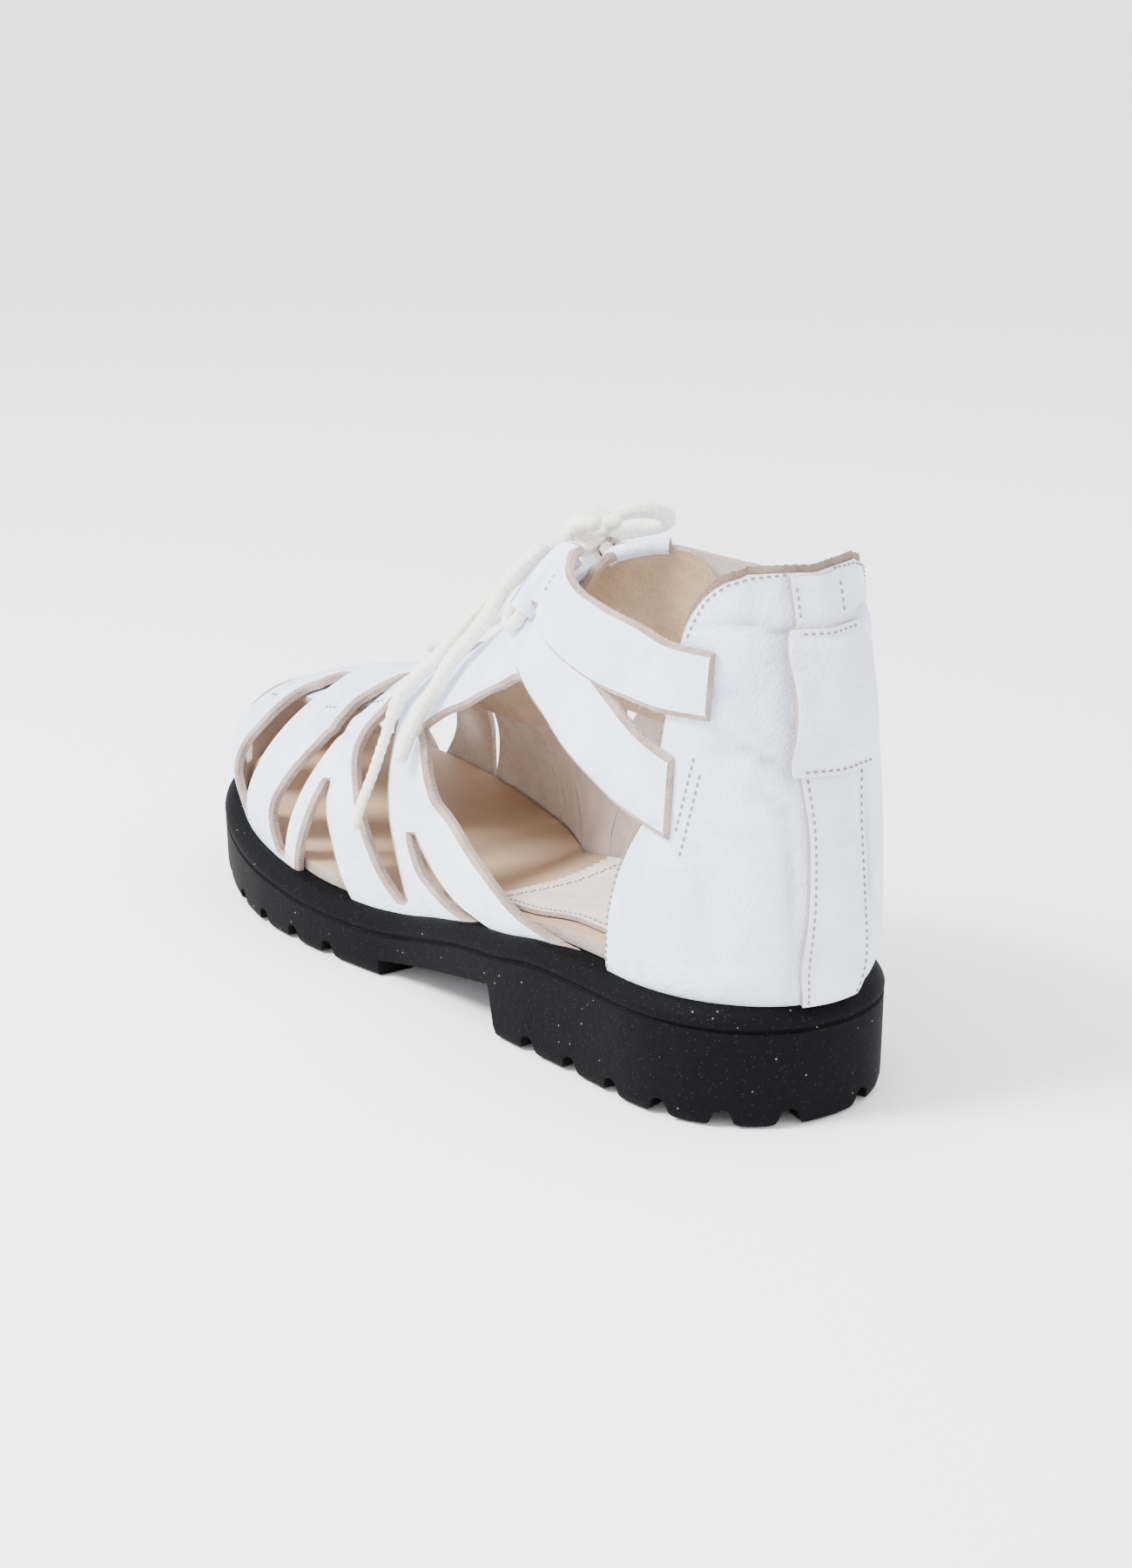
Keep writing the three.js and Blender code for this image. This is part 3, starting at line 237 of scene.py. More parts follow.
def lastPoint(turn, side, height):  # a point of the last: turn along the shoe, rise up its side
    rise = np.clip(height, 0, 1)
    foot = featherPoint(atOf(turn), side)
    top = np.stack([ribSize("topAt", turn) * shoe["soleLength"],
                    side * ribSize("topOut", turn) * shoe["ballWidth"],
                    ribSize("topUp", turn) * shoe["ankleHeight"]], -1)
    roundness = ribSize("round", turn)
    inward = (np.clip(np.cos(rise * math.pi / 2), 0, 1) ** roundness)[..., None]
    upward = np.sin(rise * math.pi / 2) ** roundness
    step = 0.004
    along = featherPoint(atOf(np.minimum(1, turn + step)), side)
    along = along - featherPoint(atOf(np.maximum(0, turn - step)), side)
    along[..., 2] = 0
    along /= np.maximum(np.linalg.norm(along, axis=-1, keepdims=True), 1e-9)
    swell = np.maximum(0, np.sin(math.pi * rise ** bulgeLean)) ** bulgePower
    out = side * ribSize("bulge", turn) * shoe["ballWidth"] * swell
    point = top + (foot - top) * inward
    point[..., 0] -= along[..., 1] * out
    point[..., 1] += along[..., 0] * out
    point[..., 2] = foot[..., 2] + (top[..., 2] - foot[..., 2]) * upward
    point[..., 2] += np.minimum(0, height) * shoe["ankleHeight"]
    return point


def onLast(turn, side, rise, lift):  # the same point lifted off the last along its normal
    turn, side, rise, lift = np.broadcast_arrays(*[np.asarray(v, float) for v in (turn, side, rise, lift)])
    step = 0.012
    riseLow = np.clip(rise - step, 0, 1 - 2 * step)
    along = lastPoint(np.minimum(0.999, turn + step), side, rise)
    along = along - lastPoint(np.maximum(0.001, turn - step), side, rise)
    up = lastPoint(turn, side, riseLow + 2 * step) - lastPoint(turn, side, riseLow)
    normal = np.cross(along, up)
    normal /= np.maximum(np.linalg.norm(normal, axis=-1, keepdims=True), 1e-9)
    return lastPoint(turn, side, rise) - normal * (side * lift)[..., None]


def overLast(turn, across, lift):  # across: 1 at the outer feather line, 0 on the ridge, -1 inside
    across = np.asarray(across, float)
    return onLast(turn, np.where(across < 0, -1, 1), 1 - np.abs(across), lift)


def roundHeel(turn, rise, lift):  # a negative turn lies on the inner side
    turn = np.asarray(turn, float)
    return onLast(np.abs(turn), np.where(turn < 0, -1, 1), rise, lift)


# Materials

def linearOf(hexText):
    parts = [int(hexText[i:i + 2], 16) / 255 for i in (1, 3, 5)]
    return [c / 12.92 if c <= 0.04045 else ((c + 0.055) / 1.055) ** 2.4 for c in parts] + [1]


# Adds a node, with settings on the node itself or on its sockets; hex text becomes a linear colour
def addNode(tree, kind, settings=None, links=None):
    node = tree.nodes.new(kind)
    for key, value in (settings or {}).items():
        if isinstance(value, str) and value.startswith("#"):
            value = linearOf(value)
        if isinstance(key, str) and hasattr(node, key) and key not in node.inputs:
            setattr(node, key, value)
        else:
            node.inputs[key].default_value = value
    for key, source in (links or {}).items():
        tree.links.new(source, node.inputs[key])
    return node


def startMaterial(name, settings):
    material = bpy.data.materials.new(name)
    material.use_nodes = True
    tree = material.node_tree
    shader = tree.nodes["Principled BSDF"]
    for key, value in settings.items():
        shader.inputs[key].default_value = value
    return material, tree, shader


# The third colour is the grey of painted shade, laid into creases and beside the heel strip
grainedLeather = {  # sizes of the pattern in millimetres, depths in metres
    "colour": "#e2e9f7", "shade": "#ced8ea", "paintedShade": "#8f97a8", "grain": 0.7, "crease": 14, "pore": 0.9,
    "roughness": 0.46, "fineDepth": 0.0003, "wideDepth": 0.0022}


# Full-grain cow leather with a white pigment finish: a soft gloss, fine pebbling and broad soft wrinkles,
# with a little grey painted shade where an attribute marks the creases and the heel strip's edge
def leatherFinish(name, look):
    material, tree, shader = startMaterial(name, {"Roughness": look["roughness"], "IOR": 1.46,
                                                  "Sheen Weight": 0.06, "Specular IOR Level": 0.42})
    place = addNode(tree, "ShaderNodeTexCoord").outputs["Object"]
    cells = addNode(tree, "ShaderNodeTexVoronoi", {"feature": "SMOOTH_F1", "Scale": 1000 / look["grain"],
                                                   "Smoothness": 0.6}, {"Vector": place})
    broad = addNode(tree, "ShaderNodeTexNoise", {"Scale": 1000 / look["crease"], "Detail": 4.0,
                                                 "Roughness": 0.6, "Distortion": 0.7}, {"Vector": place})
    pores = addNode(tree, "ShaderNodeTexNoise", {"Scale": 1000 / look["pore"], "Detail": 3.0},
                    {"Vector": place})
    tint = addNode(tree, "ShaderNodeMapRange", {1: 0.35, 2: 0.7}, {0: broad.outputs["Fac"]})
    clean = addNode(tree, "ShaderNodeMix", {"data_type": "RGBA", 6: look["shade"], 7: look["colour"]},
                    {0: tint.outputs[0]})
    # painted shade: the attribute's amount mixes the grey into the leather's colour
    paintedShade = addNode(tree, "ShaderNodeAttribute", {"attribute_name": "paintedShade"})
    withPaintedShade = addNode(tree, "ShaderNodeMix", {"data_type": "RGBA", 7: look["paintedShade"]},
                   {0: paintedShade.outputs["Fac"], 6: clean.outputs[2]})
    tree.links.new(withPaintedShade.outputs[2], shader.inputs["Base Color"])
    fine = addNode(tree, "ShaderNodeBump", {"Strength": 0.5, "Distance": look["fineDepth"]},
                   {"Height": cells.outputs["Distance"]})
    middle = addNode(tree, "ShaderNodeBump", {"Strength": 0.3, "Distance": look["fineDepth"]},
                     {"Height": pores.outputs["Fac"], "Normal": fine.outputs[0]})
    wide = addNode(tree, "ShaderNodeBump", {"Strength": 0.6, "Distance": look["wideDepth"]},
                   {"Height": broad.outputs["Fac"], "Normal": middle.outputs[0]})
    tree.links.new(wide.outputs[0], shader.inputs["Normal"])
    return material


# Raw split or cut edge of leather: matt, granular, with pale and dark fibres
def suedeFinish(name, colour, dark, pale, grain=0.55, depth=0.0004):
    material, tree, shader = startMaterial(name, {"Roughness": 0.93, "IOR": 1.4, "Sheen Weight": 0.25,
                                                  "Sheen Roughness": 0.5, "Specular IOR Level": 0.2})
    place = addNode(tree, "ShaderNodeTexCoord").outputs["Object"]
    fibre = addNode(tree, "ShaderNodeTexNoise", {"Scale": 1000 / grain, "Detail": 6.0, "Roughness": 0.75},
                    {"Vector": place})
    patch = addNode(tree, "ShaderNodeTexNoise", {"Scale": 1000 / 9, "Detail": 3.0}, {"Vector": place})
    nap = addNode(tree, "ShaderNodeMapRange", {1: 0.38, 2: 0.62}, {0: fibre.outputs["Fac"]})
    first = addNode(tree, "ShaderNodeMix", {"data_type": "RGBA", 6: dark, 7: colour}, {0: nap.outputs[0]})
    rubbed = addNode(tree, "ShaderNodeMapRange", {1: 0.42, 2: 0.75, 4: 0.5}, {0: patch.outputs["Fac"]})
    both = addNode(tree, "ShaderNodeMix", {"data_type": "RGBA", 7: pale},
                   {0: rubbed.outputs[0], 6: first.outputs[2]})
    tree.links.new(both.outputs[2], shader.inputs["Base Color"])
    bump = addNode(tree, "ShaderNodeBump", {"Strength": 0.8, "Distance": depth},
                   {"Height": fibre.outputs["Fac"]})
    tree.links.new(bump.outputs[0], shader.inputs["Normal"])
    return material


# Microcellular rubber moulded with pale cork flecks: near black, dry, with specks under a millimetre
def rubberFinish():
    material, tree, shader = startMaterial("microcellularRubber", {"Roughness": 0.68, "IOR": 1.5,
                                                                   "Specular IOR Level": 0.05})
    place = addNode(tree, "ShaderNodeTexCoord").outputs["Object"]
    specks = addNode(tree, "ShaderNodeTexVoronoi", {"Scale": 1000 / 2.3, "Randomness": 1.0},
                     {"Vector": place})
    dots = addNode(tree, "ShaderNodeMapRange", {1: 0.07, 2: 0.11, 3: 1, 4: 0},
                   {0: specks.outputs["Distance"]})
    chosen = addNode(tree, "ShaderNodeSeparateColor", {}, {0: specks.outputs["Color"]})
    some = addNode(tree, "ShaderNodeMapRange", {1: 0.76, 2: 0.78}, {0: chosen.outputs[0]})
    small = addNode(tree, "ShaderNodeTexVoronoi", {"Scale": 1000 / 1.1, "Randomness": 1.0},
                    {"Vector": place})
    dust = addNode(tree, "ShaderNodeMapRange", {1: 0.08, 2: 0.14, 3: 0.14, 4: 0},
                   {0: small.outputs["Distance"]})
    both = addNode(tree, "ShaderNodeMath", {"operation": "MULTIPLY"},
                   {0: dots.outputs[0], 1: some.outputs[0]})
    fleck = addNode(tree, "ShaderNodeMath", {"operation": "MAXIMUM"},
                    {0: both.outputs[0], 1: dust.outputs[0]})
    skin = addNode(tree, "ShaderNodeTexNoise", {"Scale": 1000 / 1.6, "Detail": 5.0}, {"Vector": place})
    base = addNode(tree, "ShaderNodeMix", {"data_type": "RGBA", 6: "#050506", 7: "#0c0c0e"},
                   {0: skin.outputs["Fac"]})
    flecked = addNode(tree, "ShaderNodeMix", {"data_type": "RGBA", 7: "#7c7a76"},
                      {0: fleck.outputs[0], 6: base.outputs[2]})
    tree.links.new(flecked.outputs[2], shader.inputs["Base Color"])
    bump = addNode(tree, "ShaderNodeBump", {"Strength": 0.5, "Distance": 0.00025},
                   {"Height": skin.outputs["Fac"]})
    tree.links.new(bump.outputs[0], shader.inputs["Normal"])
    return material


# Braided cotton cord: matt ivory yarn, each strand of fine twisted fibres, with painted shade darker between
# the strands
def cottonFinish():
    material, tree, shader = startMaterial("braidedCotton", {"Roughness": 0.85, "Specular IOR Level": 0.25,
                                                             "Sheen Weight": 0.35, "Sheen Roughness": 0.4})
    uv = addNode(tree, "ShaderNodeUVMap", {"uv_map": "UVMap"})
    turned = addNode(tree, "ShaderNodeMapping", {"Rotation": (0, 0, 0.6)}, {"Vector": uv.outputs[0]})
    yarn = addNode(tree, "ShaderNodeTexWave", {"Scale": 1.1, "Distortion": 1.2, "Detail": 2.0},
                   {"Vector": turned.outputs[0]})
    place = addNode(tree, "ShaderNodeTexCoord").outputs["Object"]
    fuzz = addNode(tree, "ShaderNodeTexNoise", {"Scale": 1000 / 0.5, "Detail": 4.0}, {"Vector": place})
    tone = addNode(tree, "ShaderNodeMath", {"operation": "MULTIPLY"},
                   {0: yarn.outputs["Fac"], 1: fuzz.outputs["Fac"]})
    twist = addNode(tree, "ShaderNodeMapRange", {1: 0.0, 2: 0.4}, {0: tone.outputs[0]})
    yarnColour = addNode(tree, "ShaderNodeMix", {"data_type": "RGBA", 6: "#dedbd0", 7: "#f6f4ee"},
                         {0: twist.outputs[0]})
    # painted shade: the braid pattern darkens the yarn colour in the crevices between strands
    braidPaintedShade = addNode(tree, "ShaderNodeAttribute", {"attribute_name": "braidPaintedShade"})
    creviceShade = addNode(tree, "ShaderNodeMapRange", {1: 0.0, 2: 0.45, 3: 0.45, 4: 0.0},
                     {0: braidPaintedShade.outputs["Fac"]})
    shaded = addNode(tree, "ShaderNodeMix", {"data_type": "RGBA", 7: "#b5b1a4"},
                     {0: creviceShade.outputs[0], 6: yarnColour.outputs[2]})
    tree.links.new(shaded.outputs[2], shader.inputs["Base Color"])
    bump = addNode(tree, "ShaderNodeBump", {"Strength": 0.5, "Distance": 0.0002}, {"Height": tone.outputs[0]})
    tree.links.new(bump.outputs[0], shader.inputs["Normal"])
    return material


# Vegetable-tanned insole leather: tan and satin, with soft clouds of burnish
def insoleFinish():
    material, tree, shader = startMaterial("vegetableTannedLeather", {"Roughness": 0.55, "IOR": 1.46,
                                                                      "Specular IOR Level": 0.4})
    place = addNode(tree, "ShaderNodeTexCoord").outputs["Object"]
    cloud = addNode(tree, "ShaderNodeTexNoise", {"Scale": 1000 / 40, "Detail": 2.0, "Roughness": 0.6},
                    {"Vector": place})
    pores = addNode(tree, "ShaderNodeTexVoronoi", {"Scale": 1000 / 0.8}, {"Vector": place})
    tint = addNode(tree, "ShaderNodeMapRange", {1: 0.35, 2: 0.68}, {0: cloud.outputs["Fac"]})
    tanned = addNode(tree, "ShaderNodeMix", {"data_type": "RGBA", 6: "#b3967c", 7: "#c0a68b"},
                     {0: tint.outputs[0]})
    tree.links.new(tanned.outputs[2], shader.inputs["Base Color"])
    bump = addNode(tree, "ShaderNodeBump", {"Strength": 0.3, "Distance": 0.0001},
                   {"Height": pores.outputs["Distance"]})
    tree.links.new(bump.outputs[0], shader.inputs["Normal"])
    return material


whiteLeather = leatherFinish("pigmentedFullGrainLeather", grainedLeather)
stripLeather = leatherFinish("softFullGrainLeather", {**grainedLeather, "colour": "#dfe3eb",
                                                      "shade": "#ced4df", "grain": 0.9})
sockLeather = leatherFinish("sockLiningLeather", {**grainedLeather, "colour": "#e6dfda", "shade": "#d8cfc8",
                                                  "roughness": 0.6, "crease": 20})
cutEdge = suedeFinish("rawLeatherEdge", "#a8958b", "#7b685d", "#c6b6ad")
collarEdge = suedeFinish("collarRawEdge", "#8f7b6d", "#66544a", "#ad9a8d", 0.5, 0.0005)
fleshSide = suedeFinish("leatherFleshSide", "#cbb9ad", "#b8a497", "#d9cbc1", 0.7, 0.0003)
tongueSuede = suedeFinish("vegetableTannedSuede", "#b9a084", "#a1886d", "#cbb59b", 0.6, 0.0003)
rubber = rubberFinish()
cotton = cottonFinish()
insoleLeather = insoleFinish()


# Mesh helpers: points in the tables' millimetres become metres in the shoe's own frame

def inMetres(points):
    points = np.array(points, float).reshape(-1, 3)
    points[:, 0] -= shoe["heelSeat"]
    return points / 1000


def pick(piece):
    bpy.ops.object.select_all(action="DESELECT")
    piece.select_set(True)
    bpy.context.view_layer.objects.active = piece


def onWhole(piece, *jobs):  # edit mode operators with everything selected
    pick(piece)
    bpy.ops.object.mode_set(mode="EDIT")
    bpy.ops.mesh.select_all(action="SELECT")
    for job in jobs:
        job()
    bpy.ops.object.mode_set(mode="OBJECT")


def weld(piece, distance=1e-5):
    onWhole(piece, lambda: bpy.ops.mesh.remove_doubles(threshold=distance),
            lambda: bpy.ops.mesh.dissolve_degenerate(threshold=distance / 4))


def faceOut(piece):
    onWhole(piece, lambda: bpy.ops.mesh.normals_make_consistent(inside=False))


def smoothPiece(piece, angle):
    pick(piece)
    bpy.ops.object.shade_smooth_by_angle(angle=math.radians(angle))


def newPiece(name, points, faces, materials):
    mesh = bpy.data.meshes.new(name)
    mesh.from_pydata(inMetres(points).tolist(), [], [tuple(int(i) for i in face) for face in faces])
    for material in materials:
        mesh.materials.append(material)
    piece = bpy.data.objects.new(name, mesh)
    bpy.context.collection.objects.link(piece)
    return piece


def solidPiece(name, points, faces, materials, smooth=35):
    piece = newPiece(name, points, faces, materials)
    weld(piece)
    smoothPiece(piece, smooth)
    faceOut(piece)
    return piece


def ringFaces(rings, count):  # quads between one ring of points and the next
    faces = []
    for i in range(rings - 1):
        for j in range(count):
            k = (j + 1) % count
            faces.append((i * count + j, (i + 1) * count + j, (i + 1) * count + k, i * count + k))
    return faces


def unitRows(vectors):
    return vectors / np.linalg.norm(vectors, axis=-1, keepdims=True)


def applyModifier(piece, kind, **settings):
    pick(piece)
    modifier = piece.modifiers.new(kind.lower(), kind)
    for key, value in settings.items():
        setattr(modifier, key, value)
    bpy.ops.object.modifier_apply(modifier=modifier.name)


def standFor(piece, slot, *nodes):
    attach(piece, "root")
    if nodes:
        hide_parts(*nodes)
    return piece


def joinPieces(name, pieces):
    bpy.ops.object.select_all(action="DESELECT")
    for piece in pieces:
        piece.select_set(True)
    bpy.context.view_layer.objects.active = pieces[0]
    if len(pieces) > 1:
        bpy.ops.object.join()
    pieces[0].name = name
    return pieces[0]


def alongLine(stops, pitch, scale):  # evenly spaced points along a line in the form's own measures
    stops = np.array(stops, float)
    steps = np.linalg.norm(np.diff(stops * scale, axis=0), axis=1)
    run = np.concatenate([[0], np.cumsum(steps)])
    count = max(1, int(round(run[-1] / pitch)))
    spots = np.linspace(0, run[-1], count + 1)
    return np.stack([np.interp(spots, run, stops[:, k]) for k in range(stops.shape[1])], -1)


def insideLoop(points, loop):
    x, y = points[:, 0], points[:, 1]
    found = np.zeros(len(points), bool)
    for (x1, y1), (x2, y2) in zip(loop, np.roll(loop, -1, axis=0)):
        if y1 == y2:
            continue
        crosses = (y1 > y) != (y2 > y)
        found ^= crosses & (x < (x2 - x1) * (y - y1) / (y2 - y1) + x1)
    return found


# Leather panels are laid out flat in turn and rise, which this scale brings to about their millimetres
panel = {"scale": np.array([260.0, 100.0]), "edge": 1.2, "skive": 0.9, "skiveDrop": 0.8}


def insetLoop(loop, distance, inward):  # the loop's points moved into the leather
    ahead = np.roll(loop, -1, axis=0) - np.roll(loop, 1, axis=0)
    normal = np.stack([-ahead[:, 1], ahead[:, 0]], -1)
    normal /= np.maximum(np.linalg.norm(normal, axis=1, keepdims=True), 1e-9)
    x, y = loop[:, 0], loop[:, 1]
    area = np.sum(x * np.roll(y, -1) - y * np.roll(x, -1))
    return loop + normal * distance * (1 if (area > 0) == inward else -1)


def nearest(points, loops):
    gaps = [np.min(np.linalg.norm(points[:, None] - loop[None], axis=2), axis=1) for loop in loops]
    return np.min(gaps, axis=0)


def leatherPanel(name, outline, holes, place, lift, wall, materials, spacing=2.4, seam=None, paintedShade=None):
    scale = panel["scale"]
    outer = np.vstack([alongLine(part, panel["edge"], scale)[:-1] for part in outline]) * scale
    loops = [outer] + [alongLine(np.vstack([h, h[:1]]), panel["edge"], scale)[:-1] * scale for h in holes]
    rings = np.vstack([insetLoop(loop, panel["skive"], i == 0) for i, loop in enumerate(loops)])
    low, high = outer.min(0), outer.max(0)
    grid = np.stack(np.meshgrid(np.arange(low[0], high[0], spacing), np.arange(low[1], high[1], spacing)), -1)
    grid[1::2, :, 0] += spacing / 2
    grid = grid.reshape(-1, 2)

    def within(spots):
        keep = insideLoop(spots, outer)
        for loop in loops[1:]:
            keep &= ~insideLoop(spots, loop)
        return keep
    rings = rings[within(rings)]
    rings = rings[nearest(rings, loops) > 0.8 * panel["skive"]]
    grid = grid[within(grid)]
    grid = grid[nearest(grid, loops + [rings]) > 0.62 * spacing]
    points, edges = [], []
    for loop in loops:
        start = len(points)
        points += [Vector(p) for p in loop]
        edges += [(start + i, start + (i + 1) % len(loop)) for i in range(len(loop))]
    points += [Vector(p) for p in np.vstack([rings, grid])]
    verts, _, faces, *_ = delaunay_2d_cdt(points, edges, [], 0, 1e-5)
    flat = np.array([v[:] for v in verts])
    faces = np.array([list(f) for f in faces])
    faces = faces[within(flat[faces].mean(1))]
    spots = flat / scale
    away = nearest(flat, loops)
    onSeam = np.abs(spots[:, 0] - (seam if seam is not None else -9)) < 1e-6
    rim = (away < 0.3 * panel["skive"]) & ~onSeam
    top = place(spots[:, 0], spots[:, 1], lift + wall - panel["skiveDrop"] * rim)
    below = place(spots[:, 0], spots[:, 1], lift)
    a, b, c = (top[faces[:, k]] for k in range(3))
    if np.sum(np.cross(b - a, c - a) * (top - below)[faces[:, 0]]) < 0:
        faces = faces[:, ::-1]
    for i in np.flatnonzero(onSeam & (spots[:, 1] < 0)):  # both sides share the toe's middle line
        twin = np.flatnonzero(onSeam & (np.abs(spots[:, 1] + spots[i, 1]) < 1e-4))
        if len(twin):
            faces[faces == i] = twin[0]
    faces = [tuple(f) for f in faces if len(set(f)) == 3]
    count = len(top)
    directed = {(f[k], f[(k + 1) % 3]) for f in faces for k in range(3)}
    openEdges = [(i, j) for i, j in directed if (j, i) not in directed]
    suede = [2 if any(rim[i] for i in f) else 0 for f in faces]
    shell = faces + [tuple(i + count for i in reversed(f)) for f in faces]
    shell += [(j, i, i + count, j + count) for i, j in openEdges]
    finish = suede + [1] * len(faces) + [2] * len(openEdges)
    piece = newPiece(name, np.vstack([top, below]), shell, materials)
    piece.data.polygons.foreach_set("material_index", finish)
    # painted shade: a grey amount per point, stored as an attribute for the leather's colour
    if paintedShade:
        marks = np.clip(paintedShade(spots[:, 0], spots[:, 1]), 0, 1)
        layer = piece.data.attributes.new("paintedShade", "FLOAT", "POINT")
        layer.data.foreach_set("value", np.concatenate([marks, marks]).astype(np.float32))
    weld(piece)
    onWhole(piece, bpy.ops.mesh.delete_loose)
    smoothPiece(piece, 32)
    return piece


# Soft creases: gaussian troughs or ridges along short lines, as turn and rise or across, then half
# width and depth in millimetres
vampCreases = [
    (0.60, 0.52, 0.665, 0.42, 1.6, -0.7), (0.60, 0.5, 0.64, 0.32, 1.7, 0.6),
    (0.585, 0.5, 0.60, 0.3, 1.4, -0.6), (0.56, 0.46, 0.56, 0.3, 1.8, 0.5),
    (0.528, 0.45, 0.5325, 0.29, 0.75, -1.1), (0.534, 0.44, 0.538, 0.3, 1.1, 0.7),
    (0.52, 0.47, 0.5, 0.4, 1.5, -0.6), (0.545, 0.43, 0.51, 0.47, 1.3, 0.5),
    (0.50, 0.5, 0.47, 0.46, 1.2, -0.5), (0.70, 0.35, 0.74, 0.2, 2.4, -0.6),
    (0.78, 0.3, 0.8, 0.12, 2.6, -0.5), (0.66, -0.4, 0.7, -0.2, 2.4, -0.6),
    (0.74, -0.45, 0.78, -0.25, 2.4, -0.5), (0.56, -0.5, 0.6, -0.34, 1.6, -0.6)]


def creaseField(lines, turn, across):
    turn, across = np.broadcast_arrays(np.asarray(turn, float), np.asarray(across, float))
    scale = panel["scale"]
    spot = np.stack([turn, across], -1) * scale
    depthHere = np.zeros(turn.shape)
    for fromTurn, fromAcross, toTurn, toAcross, half, depth in lines:
        start = np.array([fromTurn, fromAcross]) * scale
        line = np.array([toTurn, toAcross]) * scale - start
        share = np.clip(((spot - start) @ line) / (line @ line), 0, 1)
        bent = spot + np.array([0, 1.2]) * np.sin(share * 5 + half)[..., None]
        away = np.linalg.norm(bent - start - share[..., None] * line, axis=-1)
        depthHere = depthHere + depth * np.exp(-(away / half) ** 2) * np.sin(math.pi * (0.08 + 0.84 * share))
    return depthHere


# painted shade: grey in the troughs of the vamp's creases
def vampPaintedShade(turn, across):
    return 0.4 * np.clip(-creaseField(vampCreases, turn, across), 0, 1)


def softLast(turn, across, lift):
    wave = 0.16 * np.sin(np.asarray(turn) * 47 + across * 5) * np.cos(across * 9 - turn * 13)
    return overLast(turn, across, lift + wave + creaseField(vampCreases, turn, across))


# Cords: a braided tube along a smooth route

def smoothRoute(stops, pitch):
    stops = np.array(stops, float)
    padded = np.vstack([2 * stops[0] - stops[1], stops, 2 * stops[-1] - stops[-2]])
    fine = []
    for i in range(len(stops) - 1):
        p0, p1, p2, p3 = padded[i:i + 4]
        t = np.linspace(0, 1, 24, endpoint=False)[:, None]
        fine.append(0.5 * (2 * p1 + (p2 - p0) * t + (2 * p0 - 5 * p1 + 4 * p2 - p3) * t ** 2
                           + (3 * p1 - p0 - 3 * p2 + p3) * t ** 3))
    fine = np.vstack(fine + [stops[-1:]])
    return alongLine(fine, pitch, np.ones(3))


cord = {"width": 4.4, "sides": 24, "pitch": 0.5, "strand": 5.0, "strands": 4, "relief": 0.36, "yarn": 1.2}


def braidedTube(name, stops, width, widthAt=None):
    route = smoothRoute(stops, cord["pitch"])
    run = np.concatenate([[0], np.cumsum(np.linalg.norm(np.diff(route, axis=0), axis=1))])
    tangent = unitRows(np.gradient(route, axis=0))
    side = unitRows(np.cross(tangent[0], [0, 0, 1.0]))
    points, shades = [], []
    angles = np.arange(cord["sides"]) * 2 * math.pi / cord["sides"]
    for i in range(len(route)):
        side = unitRows(side - tangent[i] * np.dot(side, tangent[i]))
        other = np.cross(tangent[i], side)
        radius = width / 2 * (widthAt(run[i], run[-1]) if widthAt else 1)
        ends = min(run[i], run[-1] - run[i])
        cap = math.sqrt(max(0.0, 1 - max(0, 1 - ends / (0.45 * width)) ** 2))
        phase = 2 * math.pi * run[i] / cord["strand"]
        over = np.cos(angles * cord["strands"] + phase) * np.cos(angles * cord["strands"] - phase)
        ring = (radius - cord["relief"] * (0.5 - 0.5 * over)) * max(cap, 0.02)
        shades.append(0.5 + 0.5 * over)
        points.append(route[i] + ring[:, None] * (np.cos(angles)[:, None] * side
                                                  + np.sin(angles)[:, None] * other))
    count = cord["sides"]
    faces = []
    for i in range(len(route) - 1):
        for j in range(count):
            k = (j + 1) % count
            faces.append((i * count + j, i * count + k, (i + 1) * count + k, (i + 1) * count + j))
    faces.append(tuple(range(count - 1, -1, -1)))
    faces.append(tuple(range((len(route) - 1) * count, len(route) * count)))
    piece = newPiece(name, np.vstack(points), faces, [cotton])
    mesh = piece.data
    # painted shade: the braid's over-and-under pattern is stored to darken the crevices in the cotton's
    # colour
    braidPaintedShade = mesh.attributes.new("braidPaintedShade", "FLOAT", "POINT")
    braidPaintedShade.data.foreach_set("value", np.concatenate(shades).astype(np.float32))
    layer = mesh.uv_layers.new(name="UVMap")
    corner = 0
    for face in faces:
        wrap = len(face) == 4 and face[1] % count == 0
        for n, index in enumerate(face):
            turnShare = 1.0 if wrap and n in (1, 2) else (index % count) / count
            layer.data[corner].uv = (turnShare * cord["strands"], run[index // count] / cord["yarn"])
            corner += 1
    smoothPiece(piece, 60)
    return piece, route, run[-1]


def fromShoe(stops):  # a route in the shoe's own frame, moved to the tables' origin
    return [(x + shoe["heelSeat"], y, z) for x, y, z in stops]


# Camera, at the photograph's place

camera = {"place": (-0.4687, 0.3696, 0.2535), "turn": (73.11, 0, -124.36), "lens": 60}
cameraData = bpy.data.cameras.new("camera")
cameraData.lens = camera["lens"]
cameraData.sensor_width = 36
cameraData.clip_start = 0.01
cameraObject = bpy.data.objects.new("camera", cameraData)
cameraObject.location = camera["place"]
cameraObject.rotation_euler = [math.radians(a) for a in camera["turn"]]
bpy.context.collection.objects.link(cameraObject)
bpy.context.scene.camera = cameraObject

# Free lengths of lace

knot = {"centre": (66.6, -3.2, 122.4), "pitch": 0.5, "wrapWidth": 0.95}
laceTip = {"width": 0.7, "length": 30, "ease": 5}


def laceThin(run, total):  # the long end narrows into its wrapped tip
    share = np.clip((total - run - laceTip["length"]) / laceTip["ease"], 0, 1)
    return laceTip["width"] + (1 - laceTip["width"]) * share


